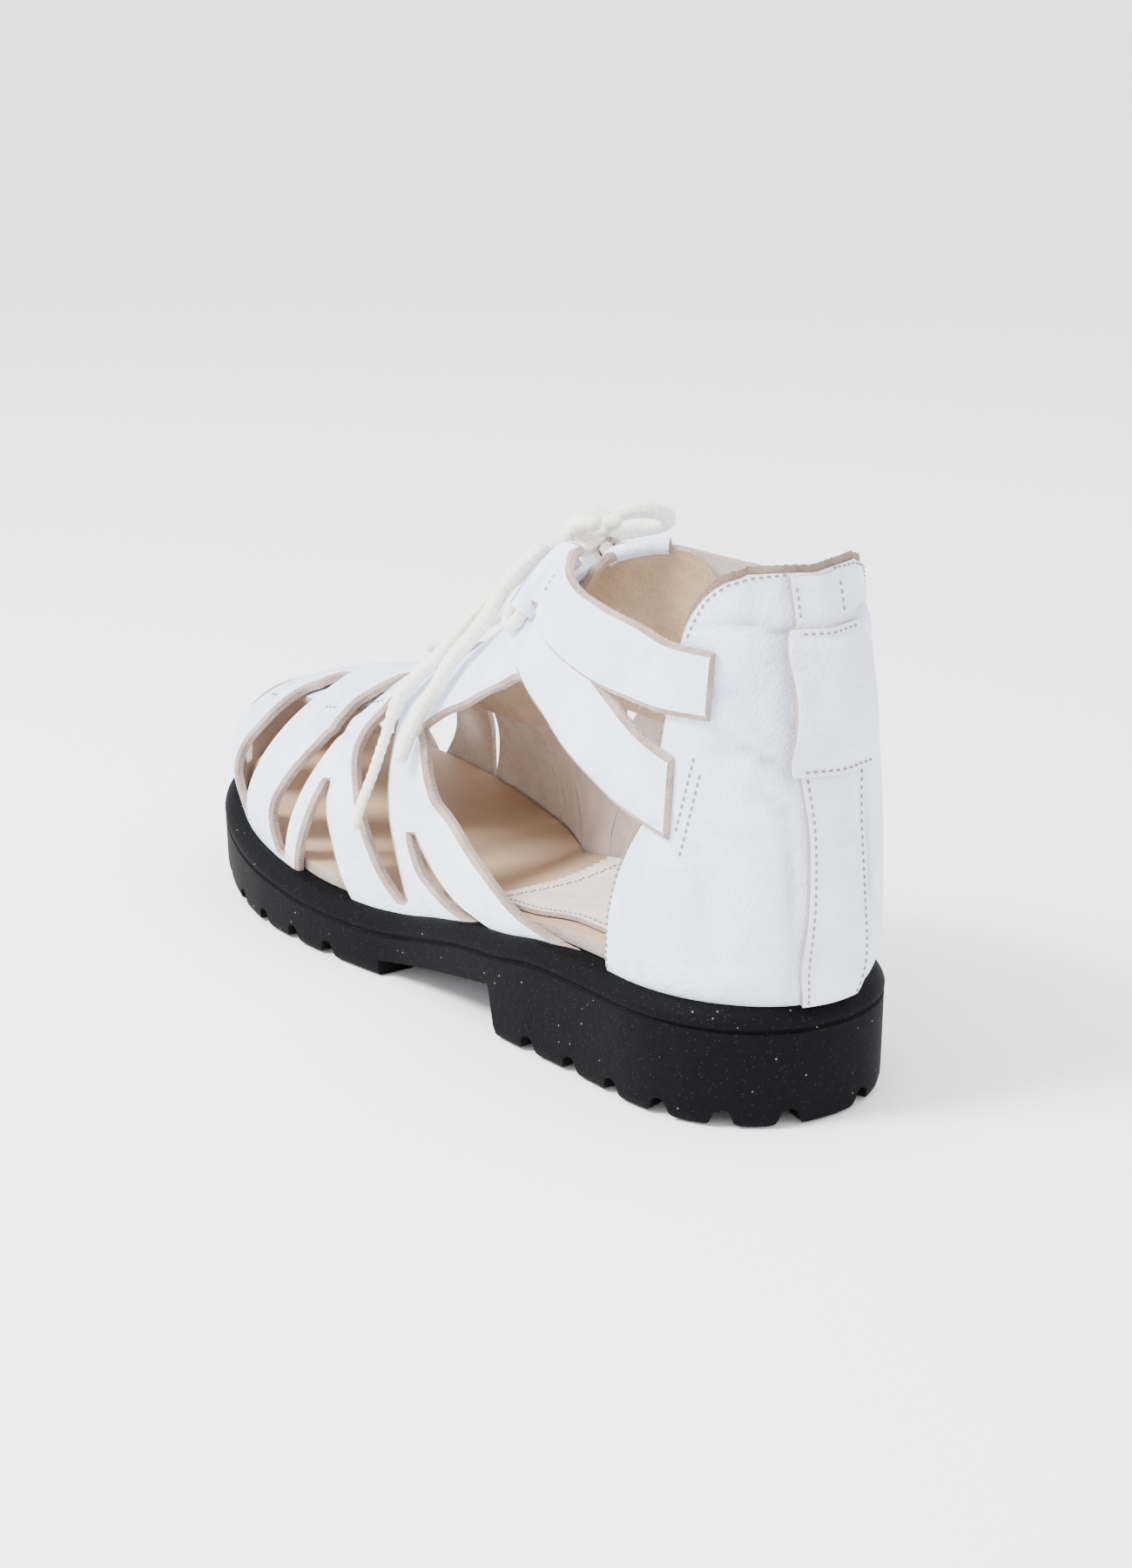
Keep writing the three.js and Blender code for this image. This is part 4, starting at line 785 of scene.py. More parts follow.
def knotPiece():
    cx, cy, cz = knot["centre"]
    lean = math.cos(knot["pitch"]), math.sin(knot["pitch"])

    def spot(along, across, up):
        return (cx + along * lean[0] + up * lean[1], cy + across, cz - along * lean[1] + up * lean[0])
    wrap = [spot(1.8 * math.cos(a) + 0.8, 5.6 * math.cos(a + 0.4), 4.2 * math.sin(a)) for a in
            np.linspace(-0.5, 2 * math.pi - 0.3, 16)]
    first = [spot(-9.0, 1.6, -0.8), spot(-5.2, 4.4, 0.9), spot(-1.2, 3.6, 1.2), spot(2.6, 0.6, 0.5),
             spot(5.6, -2.6, 0), spot(9.4, -3.2, -1.0)]
    second = [spot(-8.8, -3.4, -1.0), spot(-4.6, -4.4, 0.4), spot(-0.8, -2.2, -1.4), spot(2.8, 2.2, -1.0),
              spot(5.8, 4.2, 0.2), spot(9.2, 3.0, -1.2)]
    parts = [braidedTube("lacePart", fromShoe(line), cord["width"] * share)[0]
             for line, share in ((wrap, knot["wrapWidth"]), (first, 1), (second, 1))]
    return joinPieces("laceKnot", parts)


laceKnot = standFor(knotPiece(), "lace_cotton", "lace_knot")
laceEnds = {"lace_end_long": ("laceEndLong", "bare", laceThin),
            "lace_end_short": ("laceEndShort", "bare", None),
            "lace_loop_front": ("laceLoopFront", "object", None),
            "lace_loop_rear": ("laceLoopRear", "object", None)}
for node, (pieceName, farEnd, thin) in laceEnds.items():
    piece, route, length = braidedTube(pieceName, fromShoe(laceRoutes[node]), cord["width"], thin)
    standFor(piece, "lace_cotton", node)
    path = inMetres(route)
    tuple(path[0])
    [tuple(p) for p in path]
    print(pieceName, round(length, 1), "mm")

# Outsole: a lofted unit with a rand groove, notched edge lugs and channels under the tread

sole = {"stations": 150, "lugDepth": 4.6, "lugPitch": 16.4, "notchWidth": 5.2, "notchReach": 12,
        "channel": 3.4, "breastAt": 0.34, "breastSlope": 3, "archRise": 13.6, "archEndAt": 0.532,
        "cutterHalf": 70, "cutterBelow": 5, "slabSteps": 40}
soleEdge = [  # height over the tread, or None and depth under the top, then the inset
    (0, None, 1.7), (0.35, None, 1.2), (1.0, None, 0.75), (3.0, None, 0.3), (None, 6.6, 0.1),
    (None, 6.15, 0.12), (None, 5.85, 0.5), (None, 5.5, 0.8), (None, 5.2, 0.78), (None, 4.95, 0.4),
    (None, 4.6, 0.05), (None, 4.0, 0.0), (None, 3.2, 0.2), (None, 2.4, 0.6), (None, 1.6, 1.15),
    (None, 0.9, 1.8), (None, 0.35, 2.6), (None, 0, 3.4)]


def soleLoft():
    at = atOf(np.linspace(0, 1, sole["stations"] + 1))

    def levelPoint(level, across):
        x, y = planPoint(at, across, level[2])
        z = soleTread(x) + level[0] if level[1] is None else soleTop(x) - level[1]
        return np.stack([x, y, z], -1)
    rows = [levelPoint(level, 1) for level in soleEdge]
    rows += [levelPoint(soleEdge[-1], a) for a in (0.6, 0.2, -0.2, -0.6)]
    rows += [levelPoint(level, -1) for level in reversed(soleEdge)]
    rows += [levelPoint(soleEdge[0], a) for a in (-0.6, -0.2, 0.2, 0.6)]
    points = np.stack(rows, 1)
    faces = ringFaces(*points.shape[:2])
    return solidPiece("outsoleUnit", points.reshape(-1, 3), faces, [rubber])


def prismPiece(name, outline, placeAt):  # a closed prism: an outline at both ends, placed by a function
    count = len(outline)
    points = [placeAt(p, 0) for p in outline] + [placeAt(p, 1) for p in outline]
    faces = [tuple(range(count)), tuple(reversed(range(count, 2 * count)))]
    for i in range(count):
        j = (i + 1) % count
        faces.append((i, i + count, j + count, j))
    return solidPiece(name, points, faces, [rubber])


def crossPrism(outline):
    return prismPiece("cutter", outline, lambda p, end: (p[0], (2 * end - 1) * sole["cutterHalf"], p[1]))


def notchPlaces(fromAt, toAt, side):
    at = atOf(turnOf(fromAt) + (turnOf(toAt) - turnOf(fromAt)) * np.linspace(0, 1, 401))
    x, y = planPoint(at, side, 0)
    run = np.concatenate([[0], np.cumsum(np.hypot(np.diff(x), np.diff(y)))])
    spots = np.arange(sole["lugPitch"], run[-1], sole["lugPitch"])
    return np.interp(spots, run, at)


def notchCutter(at, side):
    x, y = planPoint(at, side, 0)
    ahead = np.array(planPoint(min(1, at + 0.01), side, 0)) - planPoint(max(0, at - 0.01), side, 0)
    ahead /= np.linalg.norm(ahead)
    outward = np.array([-ahead[1], ahead[0]]) * side
    half, below = sole["notchWidth"] / 2, -sole["cutterBelow"]
    ground = soleTread(x)
    arc = [(half * math.cos(a), sole["lugDepth"] - half + half * math.sin(a))
           for a in np.linspace(0, math.pi, 9)]
    flare = [(half + 2.2, below), (half + 2.2, 0.0), (half + 1.1, 0.35), (half + 0.4, 1.0), (half, 1.9)]
    outline = [(-x1, z1) for x1, z1 in reversed(flare)] + flare + arc[1:-1]

    def placeAt(p, end):
        reach = 6 - (6 + sole["notchReach"]) * end
        return (x + outward[0] * reach + ahead[0] * p[0], y + outward[1] * reach + ahead[1] * p[0],
                ground + p[1])
    return prismPiece("cutter", outline, placeAt)


def treadSlab(fromAt, toAt, inset, depth):
    steps, below = sole["slabSteps"], -sole["cutterBelow"]
    at = atOf(turnOf(fromAt) + (turnOf(toAt) - turnOf(fromAt)) * np.linspace(0, 1, steps))
    points = []
    for side, height in ((1, below), (1, depth), (-1, depth), (-1, below)):
        x, y = planPoint(at, side, inset)
        points.append(np.stack([x, y, soleTread(x) + height], -1))
    points = np.stack(points, 1).reshape(-1, 3)
    faces = ringFaces(steps, 4) + [(0, 1, 2, 3), tuple(4 * steps - 1 - k for k in range(4))]
    return solidPiece("cutter", points, faces, [rubber])


def cutWith(piece, cutter, operation="DIFFERENCE"):
    applyModifier(piece, "BOOLEAN", object=cutter, operation=operation, solver="EXACT")
    bpy.data.objects.remove(cutter, do_unlink=True)
    return piece


def outsole():
    length = shoe["soleLength"]
    breast, archEnd = sole["breastAt"] * length, sole["archEndAt"] * length
    body = soleLoft()
    cutWith(body, crossPrism([(breast - sole["breastSlope"], -1), (breast, sole["archRise"]),
                              (archEnd, sole["lugDepth"]), (archEnd + 1, -1)]))
    archOver = sole["archEndAt"] + sole["notchWidth"] / length
    for side in (1, -1):
        for at in [*notchPlaces(sole["breastAt"], 0, side), *notchPlaces(archOver, 1, side)]:
            cutWith(body, notchCutter(float(at), side))
    inset = sole["notchReach"] + sole["channel"]
    margin = inset / length
    for fromAt, toAt in ((0, sole["breastAt"]), (archOver, 1)):
        start = fromAt + (margin if fromAt else 0)
        end = toAt - (0 if toAt == 1 else margin)
        start, end = max(start, 0.004), min(end, 0.996)
        ring = treadSlab(start, end, sole["notchReach"], sole["lugDepth"])
        cutWith(ring, treadSlab(start, end, inset, sole["lugDepth"] + 1))
        cutWith(body, ring)
        count = int((toAt - fromAt) * length // (2 * sole["lugPitch"]))
        for i in range(1, count + 1):
            x = fromAt * length + (toAt - fromAt) * length * i / (count + 1)
            half = sole["channel"] / 2
            groove = crossPrism([(x - half, -1), (x - half, 15), (x + half, 15), (x + half, -1)])
            cutWith(groove, treadSlab(start, end, inset, sole["lugDepth"]), "INTERSECT")
            cutWith(body, groove)
    weld(body, 2e-5)
    smoothPiece(body, 30)
    body.name = "rubberOutsole"
    return standFor(body, "sole_rubber", "outsole")


outsole()
print("outsole made")

# Insole and heel sock

insole = {"edge": 3.2, "end": 0.008, "rows": 150, "columns": 40, "sockInset": 2.4, "sockSeat": 0.45,
          "sockWall": 1.2, "sockFront": 0.42, "sockOuter": 0.86}
insoleInset = shoe["featherInset"] + shoe["wall"] + 2 * shoe["clearance"]


def insoleTop(at, across):
    x, y = planPoint(at, across, insoleInset)
    bowl = column(insoleDish, "dish", at) * (1 - across * across)
    arch = column(insoleDish, "arch", at) * np.maximum(0, -across) ** 2
    return np.stack([x, y, soleTop(x) + shoe["clearance"] + insole["edge"] - bowl + arch], -1)


def wallPiece(name, top, below, materials, bevel):  # a closed wall between two grids of points
    rows, columns = top.shape[0] - 1, top.shape[1] - 1
    count = (rows + 1) * (columns + 1)
    faces = []

    def at(sheet, i, j):
        return sheet * count + i * (columns + 1) + j
    for i in range(rows):
        for j in range(columns):
            faces.append((at(0, i, j), at(0, i + 1, j), at(0, i + 1, j + 1), at(0, i, j + 1)))
            faces.append((at(1, i, j), at(1, i, j + 1), at(1, i + 1, j + 1), at(1, i + 1, j)))
    inner = len(faces)
    for i in range(rows):
        faces.append((at(0, i, 0), at(1, i, 0), at(1, i + 1, 0), at(0, i + 1, 0)))
        faces.append((at(0, i, columns), at(0, i + 1, columns), at(1, i + 1, columns), at(1, i, columns)))
    for j in range(columns):
        faces.append((at(0, 0, j), at(0, 0, j + 1), at(1, 0, j + 1), at(1, 0, j)))
        faces.append((at(0, rows, j), at(1, rows, j), at(1, rows, j + 1), at(0, rows, j + 1)))
    points = np.vstack([top.reshape(-1, 3), below.reshape(-1, 3)])
    piece = newPiece(name, points, faces, materials)
    for i, polygon in enumerate(piece.data.polygons):
        polygon.material_index = 0 if i < inner and i % 2 == 0 else (1 if i < inner else 2)
    weld(piece)
    faceOut(piece)
    if bevel:
        applyModifier(piece, "BEVEL", width=bevel / 1000, segments=2, limit_method="ANGLE",
                      angle_limit=math.radians(50), use_clamp_overlap=True)
    smoothPiece(piece, 38)
    return piece


def insolePiece():
    share, across = np.meshgrid(np.linspace(0, 1, insole["rows"] + 1),
                                np.linspace(-1, 1, insole["columns"] + 1), indexing="ij")
    at = atOf(insole["end"] + (1 - 2 * insole["end"]) * share)
    top = insoleTop(at, across)
    below = top.copy()
    below[..., 2] = soleTop(below[..., 0]) + shoe["clearance"]
    piece = wallPiece("leatherInsole", top, below, [insoleLeather, cutEdge, cutEdge], 0.7)
    return standFor(piece, "insole_leather", "insole")


def sockPoint(share, across, lift):
    ripple = 0.0035 * np.sin(across * 62) * np.clip((share - 0.9) * 10, 0, 1)
    at = np.clip(atOf(share * turnOf(insole["sockFront"])) + ripple, 0, 1)
    x, y = planPoint(at, across, insoleInset + insole["sockInset"])
    own = (x - insoleInset) / (shoe["soleLength"] - 2 * insoleInset)
    middle = column(solePlan, "middle", own) * shoe["ballWidth"]
    half = (column(solePlan, "half", own) * shoe["ballWidth"] - insoleInset) * endShare(own)
    under = insoleTop(own, np.clip((y - middle) / np.maximum(half, 1), -1, 1))
    return np.stack([x, y, under[..., 2] + lift], -1)


def sockPiece():
    share, across = np.meshgrid(np.linspace(0.04, 1, 90), np.linspace(-1, insole["sockOuter"], 90),
                                indexing="ij")
    piece = wallPiece("heelSock", sockPoint(share, across, insole["sockSeat"] + insole["sockWall"]),
                      sockPoint(share, across, insole["sockSeat"]), [sockLeather, cutEdge, cutEdge], 0.25)
    return standFor(piece, "sock_leather", "heel_sock")


insolePiece()
sockPiece()
print("insole and sock made")

# Upper: the strapped forepart with its eyestay, the counter and the ankle straps

leathers = [whiteLeather, fleshSide, cutEdge]
upperLook = {"sidesBelow": 0.004, "strapLift": 2.1, "strapWall": 2.1, "topStrapLift": 2.7, "foldRise": 3.2,
             "lowerRearAt": 0.078, "lowerFrontAt": 0.41, "outerRearAt": 0.05, "innerRearAt": 0.1,
             "collarRise": 0.975}


def edgeLine(edge, fromRise, toRise, side, steps=26):
    rise = np.linspace(fromRise, toRise, steps)
    return np.stack([turnOf(edgeAt(edge, rise)), side * (1 - rise)], -1)


def cutoutLoop(cutout, side):
    rise = np.linspace(cutout["from"], cutout["to"], 30)
    front, rear = edgeAt(cutout["front"], rise), edgeAt(cutout["rear"], rise)
    keep = front - rear > 0.0015
    rise, front, rear = rise[keep], front[keep], rear[keep]
    loop = np.vstack([np.stack([turnOf(front), side * (1 - rise)], -1),
                      np.stack([turnOf(rear), side * (1 - rise)], -1)[::-1]])
    return loop


def eyestayLine(side):  # the eyestay's free lower edge, its rear end and its top, back to the throat
    at = np.linspace(0.557, 0.38, 20)
    low = np.stack([turnOf(at), side * (1 - column(eyestay, "low", at))], -1)
    at = np.linspace(0.38, 0.59, 20)
    top = np.stack([turnOf(at), side * (1 - column(eyestay, "top", at))], -1)
    return np.vstack([low, top])


def forepart():
    below = 1 + upperLook["sidesBelow"]
    outerLow = edgeLine(foreEdge["outer"], 0.0, 0.44, 1)
    innerLow = edgeLine(foreEdge["inner"], 0.0, 0.5, -1)
    outerTop = edgeLine(foreEdge["outer"], 0.74, 1.0, 1, 12)
    innerTop = edgeLine(foreEdge["inner"], 0.74, 1.0, -1, 12)
    outerLow[0, 1] = below
    innerLow[0, 1] = -below
    rear = np.vstack([outerLow, eyestayLine(1), outerTop, innerTop[::-1], eyestayLine(-1)[::-1],
                      innerLow[::-1]])
    outline = [np.array([[1.0, -below], [1.0, below]]), np.array([[1.0, below], rear[0]]), rear,
               np.array([rear[-1], [1.0, -below]])]
    outerHoles = [cutoutLoop(c, 1) for c in outerCutouts]
    innerHoles = [cutoutLoop(c, -1) for c in innerCutouts]
    return outline, outerHoles + innerHoles


outline, holes = forepart()
vamp = leatherPanel("strappedForepart", outline, holes, softLast, 0, shoe["wall"], leathers, seam=1.0,
                    paintedShade=vampPaintedShade)
standFor(vamp, "upper_leather", "upper")
print("forepart made", len(vamp.data.polygons), "faces")

counterCreases = [  # as turn and rise, then half width and depth in millimetres
    (0.02, 0.775, 0.17, 0.785, 1.1, -1.3), (0.03, 0.742, 0.13, 0.752, 1.3, 0.6),
    (0.035, 0.55, 0.15, 0.575, 1.15, -1.4), (0.04, 0.52, 0.12, 0.535, 1.3, 0.7),
    (0.05, 0.495, 0.1, 0.505, 1.0, -0.9), (0.09, 0.67, 0.165, 0.645, 1.4, -0.7),
    (0.06, 0.6, 0.1, 0.592, 0.9, -0.6), (-0.02, 0.77, -0.17, 0.775, 1.2, -1.3),
    (-0.03, 0.735, -0.15, 0.74, 1.4, 0.6), (-0.04, 0.55, -0.16, 0.565, 1.2, -1.2),
    (0.045, 0.3, 0.062, 0.5, 1.8, -0.7), (-0.045, 0.3, -0.06, 0.5, 1.8, -0.7),
    (0.14, 0.3, 0.16, 0.45, 1.8, -0.6)]


def softHeel(turn, rise, lift):  # the counter with a few soft creases that run forward from the back seam
    extra = 0.12 * np.sin(np.asarray(turn) * 31 + np.asarray(rise) * 17) * np.sin(np.asarray(rise) * 9 + 1)
    return roundHeel(turn, rise, lift + extra + creaseField(counterCreases, turn, rise))


def counterPaintedShade(turn, rise):  # painted shade: grey in the creases and in a narrow band along the heel strip's edge
    stripEdgeShade = np.exp(-((np.abs(turn) - 0.052) / 0.006) ** 2) * 0.3
    return 0.42 * np.clip(-creaseField(counterCreases, turn, rise), 0, 1) + stripEdgeShade


def quarterSides(fromRise, steps):  # the counter's free edges: outer side up, inner side down
    rise = np.linspace(fromRise, upperLook["collarRise"], steps)
    outer = turnOf(column(quarterEdge, "outer", rise, "rise"))
    inner = turnOf(column(quarterEdge, "inner", rise, "rise"))
    return np.stack([outer, rise], -1), np.stack([-inner, rise], -1)[::-1]


def counter():
    outerSide, innerSide = quarterSides(0, 40)
    low = -upperLook["sidesBelow"]
    outerSide = np.vstack([[[outerSide[0, 0], low]], outerSide])
    innerSide = np.vstack([innerSide, [[innerSide[-1, 0], low]]])
    outline = [outerSide, np.array([outerSide[-1], innerSide[0]]), innerSide,
               np.array([innerSide[-1], outerSide[0]])]
    return leatherPanel("heelCounter", outline, [], softHeel, 0, shoe["wall"],
                        [whiteLeather, fleshSide, collarEdge], spacing=1.8, paintedShade=counterPaintedShade)


def strap(name, table, side, lift, wall, fromAt, toAt, foldRise=0.0):
    at = np.linspace(fromAt, toAt, 40)
    low = np.stack([turnOf(at), column(table, "low", at)], -1)
    top = np.stack([turnOf(at), column(table, "top", at)], -1)
    outline = [low, np.array([low[-1], top[-1]]), top[::-1], np.array([top[0], low[0]])]

    def place(turn, rise, over):
        wave = 0.14 * np.sin(turn * 61 + rise * 11 + side)
        ramp = np.clip((atOf(turn) - toAt + 0.04) / 0.036, 0, 1) * foldRise
        return onLast(turn, side, rise, over + wave + ramp * ramp / max(foldRise, 1e-6))
    return leatherPanel(name, outline, [], place, lift, wall, leathers, spacing=2.2)


fold = {"at": 0.474, "low": 0.675, "top": 0.865, "lift": 4.2, "inner": 2.45, "outer": 4.0, "sides": 28,
        "steps": 12}


def foldLine(side, fromRise, toRise, steps, lift=0.0):
    rise = np.linspace(fromRise, toRise, steps)
    return onLast(turnOf(fold["at"]), side, rise, fold["lift"] + lift)


def rolledGrids(line, across, upward, look):  # the outer and inner faces of a sheet rolled along a line
    angles = np.linspace(0, 2 * math.pi, look["sides"] + 1)
    return [line[:, None] + radius * (np.cos(angles)[None, :, None] * upward[:, None]
                                      + np.sin(angles)[None, :, None] * across[:, None])
            for radius in (look["outer"], look["inner"])]


def foldPiece(name, side):  # the strap's front end, rolled round the lace
    line = foldLine(side, fold["low"], fold["top"], fold["steps"])
    tangent = unitRows(np.gradient(line, axis=0))
    outward = foldLine(side, fold["low"], fold["top"], fold["steps"], 1) - line
    across = unitRows(np.cross(tangent, outward))
    return wallPiece(name, *rolledGrids(line, across, np.cross(across, tangent), fold), leathers, 0.35)


rimLook = {"from": 0.74, "stand": 1.5, "deep": 3, "seat": 0.5, "face": 1.7, "back": -0.35}


def collarRim():  # the lining's raw edge, which stands a little over the collar
    line = alongLine(np.vstack(quarterSides(rimLook["from"], 30)) * panel["scale"], 0.8, np.ones(2))
    share = np.linspace(0, 1, len(line))
    stand = rimLook["stand"] * np.clip(8 * np.minimum(share, 1 - share), 0, 1) + 0.12 * np.sin(share * 190)
    low, high = line - [0, rimLook["deep"]], line - [0, rimLook["seat"]]
    spots = np.stack([low, high, high], 1) / panel["scale"]
    sheets = [softHeel(spots[..., 0], spots[..., 1], lift) for lift in (rimLook["face"], rimLook["back"])]
    for sheet in sheets:
        sheet[:, 2, 2] += stand + rimLook["seat"]
    return wallPiece("collarRim", sheets[0], sheets[1], [collarEdge, fleshSide, collarEdge], 0.2)


uppers = [counter(), collarRim()]
for side, word in ((1, "Outer"), (-1, "Inner")):
    rear = upperLook["outerRearAt" if side > 0 else "innerRearAt"]
    uppers.append(strap("lowerStrap" + word, lowerStrap, side, upperLook["strapLift"], upperLook["strapWall"],
                        max(upperLook["lowerRearAt"], rear), upperLook["lowerFrontAt"]))
    uppers.append(strap("upperStrap" + word, upperStrap, side, upperLook["topStrapLift"],
                        upperLook["strapWall"], rear, fold["at"], upperLook["foldRise"]))
    uppers.append(foldPiece("strapFold" + word, side))
for piece in uppers:
    standFor(piece, "upper_leather", "upper")
print("counter and straps made")

# Tongue

tongue = {"drop": 0.9, "wall": 2.0}


def tonguePiece():
    rows = tongueEdge
    at = np.linspace(0.42, 0.89, 50)
    outerLow = np.stack([turnOf(at), 1 - column(rows, "outer", at)], -1)
    at = np.linspace(0.89, 0.21, 60)
    innerLow = np.stack([turnOf(at), -(1 - column(rows, "inner", at))], -1)
    at = np.linspace(0.21, 0.46, 30)
    innerTop = np.stack([turnOf(at), -(1 - column(rows, "top", at))], -1)
    at = np.linspace(0.46, 0.42, 8)
    outerTop = np.stack([turnOf(at), 1 - column(rows, "top", at)], -1)
    outline = [outerLow, np.array([outerLow[-1], innerLow[0]]), innerLow,
               np.array([innerLow[-1], innerTop[0]]), innerTop, outerTop,
               np.array([outerTop[-1], outerLow[0]])]

    def place(turn, across, lift):
        at = atOf(turn)
        nearEdge = np.exp(-(((1 - np.abs(across)) - column(rows, "top", at)) / 0.05) ** 2)
        wave = 0.25 * np.sin(turn * 23 + across * 8)
        return overLast(turn, across, lift + wave + 0.5 * nearEdge * (at < 0.47) * (across < 0) - 0.2)
    piece = leatherPanel("leatherTongue", outline, [], place, -tongue["drop"] - tongue["wall"],
                         tongue["wall"], [whiteLeather, tongueSuede, cutEdge], spacing=3)
    return standFor(piece, "tongue_leather", "tongue")


tonguePiece()
print("tongue made")

roll = {"outer": 2.1, "inner": 0.9, "sides": 22, "lift": -1.6}


def rolledEdge():  # the tongue's top edge turned over in white leather
    at = np.linspace(0.385, 0.472, 26)
    rise = np.interp(at, [0.385, 0.428, 0.46, 0.472], [0.935, 0.945, 0.99, 1.0])
    line = onLast(turnOf(at), -1, rise, roll["lift"])
    tangent = unitRows(np.gradient(line, axis=0))
    across = unitRows(np.cross(tangent, [0, 0, 1.0]))
    grids = rolledGrids(line, across, np.cross(across, tangent), roll)
    return standFor(wallPiece("tongueRoll", *grids, leathers, 0.3), "tongue_leather", "tongue")


rolledEdge()

# Heel strip with its pull loop

strip = {"wall": 1.6, "widest": 0.3, "halvings": 18}


def heelBase():  # the lift of the strip's underside
    return shoe["wall"] + shoe["clearance"]


def riseAt(height):  # the rise at which the back reaches a height, by halving
    low, high = np.zeros_like(height), np.ones_like(height)
    for _ in range(strip["halvings"]):
        middle = (low + high) / 2
        under = onLast(0.0, 1, middle, heelBase())[..., 2] < height
        low, high = np.where(under, middle, low), np.where(under, high, middle)
    return (low + high) / 2


def turnAcross(out, rise):  # the turn at which the heel is so far out from the middle
    near, far = np.zeros_like(out), np.full_like(out, strip["widest"])
    for _ in range(strip["halvings"]):
        middle = (near + far) / 2
        under = onLast(middle, 1, rise, heelBase())[..., 1] < out
        near, far = np.where(under, middle, near), np.where(under, far, middle)
    return (near + far) / 2


def stripPoint(up, share, lift):  # share runs from -1 to 1 across the strip
    up, share = np.broadcast_arrays(np.asarray(up, float), np.asarray(share, float))
    rise = riseAt(np.maximum(up * shoe["ankleHeight"], shoe["heelRise"] + 2 * shoe["clearance"]))
    across = share * column(stripRows, "half", up, "up")
    turn = turnAcross(np.abs(across), rise)
    return roundHeel(np.where(across < 0, -turn, turn), rise, lift)


def stripPiece():
    up, share = np.meshgrid(np.linspace(stripRows["up"][0], stripRows["up"][-1], 130),
                            np.linspace(1, -1, 25), indexing="ij")
    top = stripPoint(up, share, heelBase() + strip["wall"])
    below = stripPoint(up, share, heelBase())
    piece = wallPiece("heelStrip", top, below, [stripLeather, fleshSide, cutEdge], 0.3)
    return standFor(piece, "upper_leather", "heel_strip")


pullBand = {"from": 0.648, "to": 0.9, "wider": 1.16, "stand": 2.6, "wall": 1.5, "gap": 0.1, "plump": 0.35}


def loopPiece():  # the pull loop: a soft band over the strip, free between its two seams
    share, across = np.meshgrid(np.linspace(0, 1, 70), np.linspace(1, -1, 25), indexing="ij")
    up = pullBand["from"] + (pullBand["to"] - pullBand["from"]) * share
    ends = np.clip((np.sin(math.pi * share) - 0.2) / 0.8, 0, 1) ** 0.6
    plump = pullBand["plump"] * np.sqrt(np.clip(1 - across ** 2, 0, 1))
    lift = heelBase() + strip["wall"] + pullBand["gap"] + pullBand["stand"] * ends + plump * ends
    width = pullBand["wider"] * (1 + 0.05 * np.cos(2 * math.pi * share))
    top = stripPoint(up, across * width, lift + pullBand["wall"])
    below = stripPoint(up, across * width, lift)
    piece = wallPiece("pullLoop", top, below, [stripLeather, fleshSide, cutEdge], 0.35)
    return standFor(piece, "upper_leather", "heel_strip")


stripPiece()
loopPiece()
print("heel strip made")

# Lace bars through the folds

bars = {"over": 0.03, "thinner": 0.6, "steps": 4}


def laceBars():
    over = bars["over"]
    down = foldLine(1, fold["top"] + over, fold["low"] - over, bars["steps"])
    up = foldLine(-1, fold["low"] - over, fold["top"] + over, bars["steps"])
    turn = turnOf(np.array(laceBar["at"]))
    across = overLast(turn, np.array(laceBar["across"]), np.array(laceBar["lift"]))
    piece = braidedTube("laceBars", np.vstack([down, across, up]), cord["width"] - bars["thinner"])[0]
    return standFor(piece, "lace_cotton", "lace_bars")


laceBars()

# Stitches: short raised runs of waxed thread

stitch = {"pitch": 1.9, "length": 1.4, "radius": 0.3, "sides": 6, "lead": 0.15,
          "taper": (0.35, 0.9, 1, 0.9, 0.35), "stand": (-0.25, 0.05, 0.14, 0.05, -0.25)}
# Waxed polyester thread: warm grey and satin, drawn tight so that its ends dip into the leather
thread = startMaterial("waxedThread", {"Roughness": 0.6, "Sheen Weight": 0.1,
                                       "Base Color": linearOf("#7a766f")})[0]


def stitchRow(place, stops, lift):  # place turns two shares and a lift into points
    stops = alongLine(stops, 0.4, panel["scale"])
    surface = place(stops[:, 0], stops[:, 1], lift)
    above = place(stops[:, 0], stops[:, 1], lift + 1) - surface
    run = np.concatenate([[0], np.cumsum(np.linalg.norm(np.diff(surface, axis=0), axis=1))])
    points, faces = [], []
    sides, rings = stitch["sides"], len(stitch["taper"])
    for n in range(int(run[-1] // stitch["pitch"])):
        spots = (n + stitch["lead"]) * stitch["pitch"] + np.linspace(0, 1, rings) * stitch["length"]
        line = np.stack([np.interp(spots, run, surface[:, k]) for k in range(3)], -1)
        outward = np.stack([np.interp(spots, run, above[:, k]) for k in range(3)], -1)
        tangent = unitRows(line[-1] - line[0])
        start = len(points)
        for i in range(rings):
            size = stitch["radius"] * stitch["taper"][i]
            up = unitRows(outward[i])
            side = np.cross(tangent, up)
            for j in range(sides):
                angle = 2 * math.pi * j / sides
                points.append(line[i] + up * (stitch["stand"][i] + size * math.sin(angle))
                              + side * size * math.cos(angle))
        for i in range(rings - 1):
            for j in range(sides):
                k = (j + 1) % sides
                a = start + i * sides
                faces.append((a + j, a + k, a + sides + k, a + sides + j))
        faces.append(tuple(start + j for j in reversed(range(sides))))
        faces.append(tuple(start + (rings - 1) * sides + j for j in range(sides)))
    return points, faces


def stitches(name, rows):
    points, faces = [], []
    for place, stops, lift in rows:
        more, shapes = stitchRow(place, stops, lift)
        faces += [tuple(i + len(points) for i in f) for f in shapes]
        points += more
    return standFor(solidPiece(name, points, faces, [thread], 60), "upper_leather")


def onSide(side):
    return lambda turn, rise, lift: onLast(turn, side, rise, lift)


def atStops(stops):
    return [(float(turnOf(at)), rise) for at, rise in stops]


